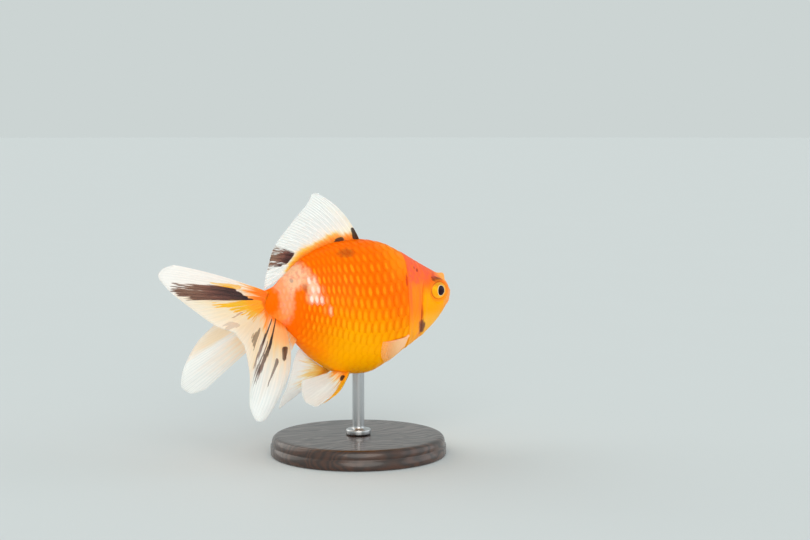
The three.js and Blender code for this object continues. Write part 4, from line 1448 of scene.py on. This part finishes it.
def fin_material(name, settings, strokes, tints, clearer=0.0, glow=0.85, fade=(0.95, 0.85)):
    """Translucent web and whiter rays, tinted outwards from the root, with strokes of colour.

    A fin can be clearer than the others, glow less, and fade from a place along its rays to
    what is left of it at the edge.
    """
    fade_start, left_at_edge = fade
    material, nodes = new_material(f"Goldfish Fin {name}")
    u, v, ray = nodes.parts(nodes.attribute("fin"))
    streaks = nodes.noise(nodes.join(u * 30, v * 0.9, 0.0), 3.2, 2.0, 0.6)
    fingers = nodes.noise(nodes.join(u * 14, v * 1.2, 3.0), 2.2, 2.0, 0.6)
    cloud = nodes.noise(nodes.join(u * 3, v * 3, 7.0), 1.6, 2.0)
    colour = nodes.mix(ray * 0.9, settings.web_colour, settings.ray_colour)
    solid = nodes.ramp(v + (cloud - 0.5) * 0.1, 0.3, 0.05) * 0.8
    for tint, low_u, high_u, full, gone, strength, fingered in tints:
        reach = nodes.ramp(v + (fingers - 0.5) * 2 * fingered, gone, full) * strength
        if low_u >= 0:
            reach = reach * nodes.ramp(u + (fingers - 0.5) * 0.1, low_u - 0.05, low_u + 0.05)
        if high_u <= 1:
            reach = reach * nodes.ramp(u + (fingers - 0.5) * 0.1, high_u + 0.04, high_u - 0.04)
        colour = nodes.mix(reach, colour, tint)
        solid = solid.most(reach * 0.8)
    for start, end, wide, narrow, paint, strength, frayed in strokes:
        mask = stroke_mask(nodes, u, v, streaks, start, end, wide, narrow, frayed) * strength
        if paint == BLACK:
            browned = nodes.ramp(v, start[1], end[1]) * frayed * 0.6
            paint = nodes.mix(browned, BLACK, BROWN)
        colour = nodes.mix(mask, colour, paint)
        solid = solid.most(mask)
    lines = nodes.noise(nodes.join(u * 40, v * 9, 0.0), 3.0, 2.0)
    opacity = settings.opacity - clearer
    web = opacity + ray * (0.95 - opacity) * 0.5
    faded = nodes.ramp(v, 1.0, fade_start, left_at_edge, 1.0)
    nodes.finish(
        base_color=colour,
        roughness=0.4 + lines * 0.12,
        alpha=(web + solid * (1 - web)) * faded,
        normal=nodes.bump(lines, 0.03 * MM, 0.5),
        specular_level=0.2,
        subsurface_weight=glow,
        subsurface_radius=(1.0, 0.9, 0.85),
        subsurface_scale=1.5 * MM,
        coat_weight=0.08,
        coat_roughness=0.2,
    )
    return material


# ---------------------------------------------------------------- the stand


def lathe(name, profile, material, replaced, sides=144):
    """A turned piece: a closed profile of (radius, level) pairs spun round the upright axis."""
    profile = np.array(profile) * MM
    turn = np.linspace(0, 2 * math.pi, sides, endpoint=False)
    rings = profile[1:-1]
    points = np.stack([
        rings[:, :1] * np.cos(turn), rings[:, :1] * np.sin(turn), np.repeat(rings[:, 1:], sides, 1)
    ], -1)
    ends = [[0, 0, profile[0, 1]], [0, 0, profile[-1, 1]]]
    faces, corners = tube_faces(len(rings), sides)
    walk = np.concatenate([[0], np.cumsum(np.linalg.norm(np.diff(profile, axis=0), axis=1))])
    uvs = tube_chart(corners, sides, 0.01 + 0.98 * walk / walk[-1])
    new_piece(
        name, np.concatenate([points.reshape(-1, 3), ends]), faces, uvs, material, replaced
    )


def rounded(corner, before, after, steps=6):
    """Points of a rounded corner between two points of a profile."""
    corner, before, after = np.array(corner, float), np.array(before), np.array(after)
    t = np.linspace(0, 1, steps)[:, None]
    return ((1 - t) ** 2 * before + 2 * t * (1 - t) * corner + t * t * after).tolist()


def wood_material(settings):
    """Dark stained wood with bent grain lines and open pores, under a clear varnish."""
    material, nodes = new_material("Stained Wood")
    where = nodes.add("ShaderNodeTexCoord", out="Object")
    bend = nodes.noise(nodes.stretched(where, (20, 60, 60)), 1.0, 3.0)
    x, y, z = nodes.parts(where)
    rings = nodes.add(
        "ShaderNodeTexWave",
        {"wave_type": "BANDS", "bands_direction": "Y"},
        {
            "Vector": nodes.join(x * 60, y * 260 + bend * 9, z * 200),
            "Scale": 0.35,
            "Distortion": 5.0,
            "Detail": 3.0,
            "Detail Scale": 1.2,
        },
        "Fac",
    )
    pores = nodes.noise(nodes.stretched(where, (220, 3000, 3000)), 1.0, 3.0, 0.65)
    colour = nodes.mix(rings, settings.wood_colour, settings.grain_colour)
    colour = nodes.mix(nodes.ramp(pores, 0.6, 0.72) * 0.6, colour, settings.pore_colour)
    nodes.finish(
        base_color=colour,
        roughness=0.34 + rings * 0.12,
        normal=nodes.bump(rings * 0.3 + pores * 0.7, 0.06 * MM, 0.4),
        coat_weight=0.45,
        coat_roughness=0.12,
    )
    return material


def steel_material(settings):
    """Steel brushed round the rod."""
    material, nodes = new_material("Brushed Steel")
    where = nodes.add("ShaderNodeTexCoord", out="Object")
    brush = nodes.noise(nodes.stretched(where, (900, 900, 60)), 1.0, 3.0, 0.6)
    nodes.finish(
        base_color=nodes.mix(brush, settings.steel_colour, settings.steel_shade),
        roughness=nodes.ramp(brush, 0.2, 0.8, 0.22, 0.42),
        metallic=1.0,
        normal=nodes.bump(brush, 0.02 * MM, 0.5),
    )
    return material


def build_stand(settings):
    """The turned base and the rod with its collar. Profiles run from the bottom to the top."""
    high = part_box("stand_base")[1] / MM
    radius, top = high.x, high.z
    edge = 1.6
    profile = [(0, 0), (radius * 0.5, 0), (radius - 1.5, 0), (radius - 0.6, 0.05)]
    profile += rounded((radius, 0), (radius - 0.5, 0.1), (radius, 0.9), 4)
    profile += [(radius, top - 4.2), (radius - 0.55, top - 3.9), (radius - 0.55, top - 3.5)]
    profile += rounded((radius - 0.5, top), (radius - 0.5, top - 3.3), (radius - 2 * edge, top), 9)
    profile += [(radius * share, top) for share in (0.86, 0.8, 0.55, 0.3, 0.12)] + [(0, top)]
    lathe("display_base", profile, wood_material(settings), ["stand_base"])

    low, high = [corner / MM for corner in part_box("stand_rod")]
    rod, foot, tip = high.x, low.z, high.z
    collar = 2.1 * rod
    profile = [(0, foot), (collar - 0.3, foot)]
    profile += rounded((collar, foot), (collar - 0.2, foot + 0.05), (collar, foot + 0.4), 3)
    profile += rounded((collar, foot + 2.2), (collar, foot + 1.5), (collar - 0.8, foot + 2.2), 5)
    profile += rounded((rod, foot + 2.2), (rod + 1.1, foot + 2.25), (rod, foot + 3.4), 6)
    profile += [(rod, level) for level in np.linspace(foot + 4, tip - 0.4, 9)]
    profile += [(rod - 0.35, tip - 0.05), (0, tip)]
    steel = steel_material(settings)
    lathe("support_rod", profile, steel, ["stand_rod"], sides=64)


# ---------------------------------------------------------------- the stage


def floor_material(settings):
    """A matt, faintly cloudy floor."""
    material, nodes = new_material("Pale Floor")
    where = nodes.add("ShaderNodeTexCoord", out="Object")
    mist = nodes.noise(nodes.stretched(where, (9, 9, 9)), 1.0, 2.0)
    colour = nodes.mix(nodes.ramp(mist, 0.3, 0.7) * 0.01, settings.floor_colour, (0.4, 0.4, 0.4))
    nodes.finish(base_color=colour, roughness=0.9, specular_level=0.0)
    return material


def add_floor(settings):
    """A round floor that casts no shadow, so that the low sun passes it."""
    mesh = bpy.data.meshes.new("studio_floor")
    turn = np.linspace(0, 2 * math.pi, 96, endpoint=False)
    reach = settings.floor_radius
    rim = [(reach * math.cos(a), reach * math.sin(a), 0.0) for a in turn]
    mesh.from_pydata(rim, [], [list(range(len(rim)))])
    mesh.materials.append(floor_material(settings))
    floor = bpy.data.objects.new("studio_floor", mesh)
    floor.location.z = -0.2 * MM
    bpy.context.scene.collection.objects.link(floor)
    floor.visible_shadow = False


def add_suns(settings):
    """Four soft suns: each with its strength, colour, width in degrees and where it stands."""
    suns = [
        ("Key", settings.key_strength, settings.key_colour, 50, (-0.4, -0.82, 0.5)),
        ("Fill", settings.fill_strength, settings.fill_colour, 60, (0.8, -0.5, 0.2)),
        ("Rim", settings.rim_strength, settings.key_colour, 60, (-0.5, 0.8, 0.6)),
        ("Low", settings.low_strength, settings.key_colour, 90, (-0.1, -0.5, -0.8)),
    ]
    for name, strength, colour, softness, direction in suns:
        data = bpy.data.lights.new(f"{name} Sun", "SUN")
        data.energy = strength
        data.color = colour
        data.angle = math.radians(softness)
        sun = bpy.data.objects.new(f"{name} Sun", data)
        sun.rotation_mode = "QUATERNION"
        sun.rotation_quaternion = Vector(direction).to_track_quat("Z", "Y")
        bpy.context.scene.collection.objects.link(sun)


def add_camera(settings):
    """The camera, on a sphere round the fish's axis at the mouth's level."""
    scene = bpy.context.scene
    camera = bpy.data.cameras.new("Camera")
    camera.lens = settings.lens
    camera.sensor_width = 36
    camera.clip_start = 0.01
    camera.clip_end = 200
    view = bpy.data.objects.new("Camera", camera)
    turn, rise = settings.camera_azimuth, settings.camera_elevation
    back = Vector((
        math.sin(turn) * math.cos(rise), -math.cos(turn) * math.cos(rise), math.sin(rise)
    ))
    view.location = Vector((0, 0, MOUTH_HEIGHT)) + back * settings.camera_distance
    view.rotation_mode = "QUATERNION"
    aim = Vector(settings.camera_target) - view.location
    view.rotation_quaternion = aim.to_track_quat("-Z", "Y")
    scene.collection.objects.link(view)
    scene.camera = view


def build_stage(settings):
    """Pale floor and world, soft lights, and the camera."""
    scene = bpy.context.scene
    scene.view_settings.view_transform = "Standard"
    world = bpy.data.worlds.new("Pale Studio")
    world.use_nodes = True
    background = world.node_tree.nodes["Background"]
    background.inputs["Color"].default_value = (*settings.world_colour, 1.0)
    background.inputs["Strength"].default_value = settings.world_strength
    scene.world = world
    add_floor(settings)
    add_suns(settings)
    add_camera(settings)


# ---------------------------------------------------------------- settings


def length(name, description, default):
    return FloatProperty(
        name=name, description=description, default=default, unit="LENGTH", precision=5
    )


def colour(name, description, *channels):
    return FloatVectorProperty(
        name=name,
        description=description,
        default=srgb(*channels),
        subtype="COLOR",
        min=0.0,
        max=1.0,
    )


def angle(name, description, degrees):
    return FloatProperty(
        name=name,
        description=description,
        default=math.radians(degrees),
        unit="ROTATION",
        subtype="ANGLE",
    )


def number(name, description, default):
    return FloatProperty(name=name, description=description, default=default, min=0.0)


class GoldfishBodySettings(bpy.types.PropertyGroup):
    flank_colour: colour("Flank", "Orange of the flanks", 255, 109, 0)
    deep_colour: colour("Deep orange", "Deeper orange of the rear and of cloudy areas", 253, 108, 0)
    belly_colour: colour("Belly", "Yellow orange of the belly", 255, 168, 0)
    back_colour: colour("Back", "Lighter orange of the front of the back", 255, 146, 14)
    cheek_colour: colour("Cheek", "Yellow of the cheeks", 255, 162, 0)
    brow_colour: colour("Brow", "Orange behind and above the eyes", 248, 106, 26)
    # The snout's own orange with a painted pale haze in it.
    snout_and_haze_colour: colour("Snout", "Orange of the snout and lips", 252, 158, 90)
    # Painted rim glow along the lower jaw, in light yellow.
    chin_rim_glow_colour: colour("Chin", "Light yellow of the lower jaw", 255, 192, 70)
    throat_colour: colour("Throat", "Yellow of the throat and low gill covers", 255, 166, 40)
    gill_cover_colour: colour("Gill cover", "Orange of the gill covers", 255, 132, 28)
    head_top_colour: colour("Head top", "Flushed orange of the top of the head", 252, 104, 50)
    flush_colour: colour("Flush", "Pink red in the flush on the head", 240, 88, 72)
    flap_colour: colour("Nostril flaps", "Yellow of the nostril flaps", 252, 176, 92)
    pale_colour: colour("Pale patch", "Ground of the pale patches", 252, 194, 152)
    peach_colour: colour("Peach", "Rear of the pale patches", 255, 160, 108)
    lilac_colour: colour("Lilac", "Grey mottling in the pale patches", 206, 150, 140)
    blush_colour: colour("Blush", "Pink clouds in the pale patches", 244, 158, 130)
    # Painted shade in the skin's folds and grooves.
    fold_shade_colour: colour("Folds", "Shade in folds and grooves", 226, 108, 50)
    ring_colour: colour("Eye ring", "Skin ring round the eyes", 250, 134, 34)
    mottle_colour: colour("Mottle", "Fine mottling of bare skin", 246, 112, 30)
    net_colour: colour("Scale net", "Deep orange between the scales' dashes", 230, 88, 0)
    # Partly the scale's own pale layer and partly a painted highlight.
    dash_highlight_colour: colour("Scale dash", "Bright dash on each scale", 255, 174, 26)
    # Painted glint on the shining scales.
    glint_highlight_colour: colour("Scale shine", "Dash of the shining scales", 255, 226, 214)


class GoldfishScaleSettings(bpy.types.PropertyGroup):
    thickness: length("Thickness", "Thickness of a scale", 0.09 * MM)
    front_depth: length("Root depth", "How deep a scale's root sits under its free edge", 0.45 * MM)
    dome: length("Dome", "How far a scale's middle rises", 0.1 * MM)


class GoldfishEyeSettings(bpy.types.PropertyGroup):
    bulge: length("Bulge", "How far the eye stands out of its socket's plane", 1.55 * MM)
    flatness: number("Flatness", "The eyeball's depth as a share of its width", 0.72)
    pupil_diameter: length("Pupil", "Height of the pupil", 4.65 * MM)
    iris_diameter: length("Iris", "Diameter of the gold iris", 7.4 * MM)
    pupil_forward: number("Forward", "Degrees the pupil is turned forward", 12)
    iris_colour: colour("Iris", "Gold of the iris", 255, 160, 6)
    iris_light: colour("Iris light", "Light spokes in the iris", 255, 200, 24)
    iris_shade: colour("Iris shade", "Shade on the upper iris", 190, 120, 40)
    iris_rim: colour("Iris rim", "Outer edge of the iris", 214, 110, 24)
    pupil_rim: colour("Pupil rim", "Thin rim round the pupil", 250, 226, 190)
    pupil_colour: colour("Pupil", "Pupil", 36, 12, 24)


class GoldfishFinSettings(bpy.types.PropertyGroup):
    web_thickness: length("Web thickness", "Thickness of the web", 0.16 * MM)
    ray_relief: length("Ray relief", "How far rays stand off the web on either face", 0.07 * MM)
    opacity: number("Opacity", "Opacity of the web between rays", 0.78)
    web_colour: colour("Web", "Colour of the web", 240, 244, 239)
    ray_colour: colour("Rays", "Colour of the rays", 249, 249, 243)


class GoldfishStandSettings(bpy.types.PropertyGroup):
    wood_colour: colour("Wood", "Stained wood", 66, 38, 24)
    grain_colour: colour("Grain", "Dark grain", 38, 21, 14)
    pore_colour: colour("Pores", "Open pores", 22, 12, 8)
    steel_colour: colour("Steel", "Steel", 206, 207, 208)
    steel_shade: colour("Steel shade", "Brushed shade in the steel", 168, 170, 173)


class GoldfishStageSettings(bpy.types.PropertyGroup):
    floor_radius: length("Floor radius", "Radius of the floor", 40.0)
    floor_colour: colour("Floor", "Pale floor", 203, 208, 210)
    world_colour: colour("World", "Pale world", 204, 212, 211)
    world_strength: number("World strength", "Strength of the world's light", 1.0)
    key_strength: number("Key", "Strength of the key light", 1.4)
    key_colour: colour("Key colour", "Colour of the key light", 255, 250, 242)
    fill_strength: number("Fill", "Strength of the fill light", 0.7)
    fill_colour: colour("Fill colour", "Colour of the fill light", 246, 250, 255)
    rim_strength: number("Rim", "Strength of the light from behind", 1.1)
    low_strength: number("Low", "Strength of the light from below, which passes the floor", 1.55)
    lens: number("Lens", "Focal length of the camera, in millimetres", 70)
    camera_azimuth: angle("Azimuth", "Camera's turn round the fish", -31)
    camera_elevation: angle("Elevation", "Camera's rise above the fish's level", 6)
    camera_distance: length("Distance", "Camera's distance from the fish's axis", 0.66)
    camera_target: FloatVectorProperty(
        name="Target",
        description="Point that the camera looks at",
        default=(0.0175, -0.0091, 0.0774),
        subtype="XYZ",
        unit="LENGTH",
    )


# ---------------------------------------------------------------- operators and panel


class GOLDFISH_OT_stage(bpy.types.Operator):
    """Make the floor, the lights and the camera"""

    bl_idname = "goldfish.stage"
    bl_label = "Stage"

    def execute(self, context):
        build_stage(context.scene.goldfish_stage)
        return {"FINISHED"}


class GOLDFISH_OT_skin(bpy.types.Operator):
    """Make the skin over the whole body"""

    bl_idname = "goldfish.skin"
    bl_label = "Skin"

    def execute(self, context):
        build_skin(context.scene.goldfish_body)
        return {"FINISHED"}


class GOLDFISH_OT_scales(bpy.types.Operator):
    """Make the scales over the skin behind the gill covers"""

    bl_idname = "goldfish.scales"
    bl_label = "Scales"

    def execute(self, context):
        build_scales(context.scene.goldfish_scales, context.scene.goldfish_body)
        return {"FINISHED"}


class GOLDFISH_OT_eyes(bpy.types.Operator):
    """Make the two glass eyes"""

    bl_idname = "goldfish.eyes"
    bl_label = "Eyes"

    def execute(self, context):
        build_eyes(context.scene.goldfish_eyes)
        return {"FINISHED"}


class GOLDFISH_OT_dorsal_fin(bpy.types.Operator):
    """Make the fin on the back"""

    bl_idname = "goldfish.dorsal_fin"
    bl_label = "Dorsal Fin"

    def execute(self, context):
        settings = context.scene.goldfish_fins
        fin = {**DORSAL_MAKE, "rays": DORSAL_RAYS, "base": dorsal_base, "side": 1}
        material = fin_material("Dorsal", settings, DORSAL_STROKES, DORSAL_TINTS, clearer=0.36)
        build_fin("fin_dorsal", fin, settings, material, ["dorsal_fin"])
        return {"FINISHED"}


class GOLDFISH_OT_tail(bpy.types.Operator):
    """Make the two halves of the tail, each with an upper and a lower lobe"""

    bl_idname = "goldfish.tail"
    bl_label = "Tail"

    def execute(self, context):
        settings = context.scene.goldfish_fins
        halves = [
            (-1, "right", TAIL_RIGHT_RAYS, TAIL_RIGHT_STROKES),
            (1, "left", TAIL_LEFT_RAYS, TAIL_LEFT_STROKES),
        ]
        for side, name, rays, strokes in halves:
            fin = {**TAIL_MAKE, "rays": rays, "base": tail_base(side), "side": side}
            material = fin_material(f"Tail {name}", settings, strokes, TAIL_TINTS)
            replaced = [f"caudal_fin_{name}_upper", f"caudal_fin_{name}_lower"]
            build_fin(f"fin_tail_{name}", fin, settings, material, replaced)
        return {"FINISHED"}


class GOLDFISH_OT_paired_fins(bpy.types.Operator):
    """Make the pectoral, pelvic and anal fins of both sides"""

    bl_idname = "goldfish.paired_fins"
    bl_label = "Paired Fins"

    def execute(self, context):
        settings = context.scene.goldfish_fins
        for side, name in ((-1, "right"), (1, "left")):
            kinds = {
                "pectoral": (
                    {**PECTORAL_MAKE, "clearance": standing_off(*PECTORAL_CLEARANCE)},
                    flank_base(PECTORAL_BASE, side),
                    PECTORAL_RAYS,
                    PECTORAL_LOOK,
                ),
                "pelvic": (
                    {**PELVIC_MAKE, "clearance": standing_off(*PELVIC_CLEARANCE)},
                    belly_base(PELVIC_BASE, side),
                    PELVIC_RIGHT_RAYS if side < 0 else PELVIC_LEFT_RAYS,
                    PELVIC_RIGHT_LOOK if side < 0 else PELVIC_LEFT_LOOK,
                ),
                "anal": (ANAL_MAKE, belly_base(ANAL_BASE, side), ANAL_RAYS, ANAL_LOOK),
            }
            for kind, (make, base, rays, look) in kinds.items():
                fin = {**make, "rays": rays, "base": base, "side": side}
                material = fin_material(f"{kind} {name}", settings, **look)
                build_fin(f"fin_{kind}_{name}", fin, settings, material, [f"{kind}_fin_{name}"])
        return {"FINISHED"}


class GOLDFISH_OT_stand(bpy.types.Operator):
    """Make the turned wooden base and the steel rod"""

    bl_idname = "goldfish.stand"
    bl_label = "Stand"

    def execute(self, context):
        build_stand(context.scene.goldfish_stand)
        return {"FINISHED"}


OPERATORS = [
    GOLDFISH_OT_stage,
    GOLDFISH_OT_skin,
    GOLDFISH_OT_scales,
    GOLDFISH_OT_eyes,
    GOLDFISH_OT_dorsal_fin,
    GOLDFISH_OT_tail,
    GOLDFISH_OT_paired_fins,
    GOLDFISH_OT_stand,
]
SETTINGS = {
    "goldfish_stage": GoldfishStageSettings,
    "goldfish_body": GoldfishBodySettings,
    "goldfish_scales": GoldfishScaleSettings,
    "goldfish_eyes": GoldfishEyeSettings,
    "goldfish_fins": GoldfishFinSettings,
    "goldfish_stand": GoldfishStandSettings,
}


class GOLDFISH_PT_panel(bpy.types.Panel):
    """Lists the goldfish's pieces and their settings"""

    bl_idname = "GOLDFISH_PT_panel"
    bl_label = "Goldfish"
    bl_space_type = "VIEW_3D"
    bl_region_type = "UI"
    bl_category = "Goldfish"

    def draw(self, context):
        for operator in OPERATORS:
            self.layout.operator(operator.bl_idname)
        for name, group in SETTINGS.items():
            box = self.layout.box()
            settings = getattr(context.scene, name)
            for key in group.__annotations__:
                box.prop(settings, key)


def register():
    for group in SETTINGS.values():
        bpy.utils.register_class(group)
    for name, group in SETTINGS.items():
        setattr(bpy.types.Scene, name, PointerProperty(type=group))
    for operator in OPERATORS:
        bpy.utils.register_class(operator)
    bpy.utils.register_class(GOLDFISH_PT_panel)


def unregister():
    bpy.utils.unregister_class(GOLDFISH_PT_panel)
    for operator in reversed(OPERATORS):
        bpy.utils.unregister_class(operator)
    for name, group in SETTINGS.items():
        delattr(bpy.types.Scene, name)
        bpy.utils.unregister_class(group)


def main():
    register()
    bpy.ops.goldfish.stage()
    bpy.ops.goldfish.skin()
    bpy.ops.goldfish.scales()
    bpy.ops.goldfish.eyes()
    bpy.ops.goldfish.dorsal_fin()
    bpy.ops.goldfish.tail()
    bpy.ops.goldfish.paired_fins()
    bpy.ops.goldfish.stand()


if __name__ == "__main__":
    main()
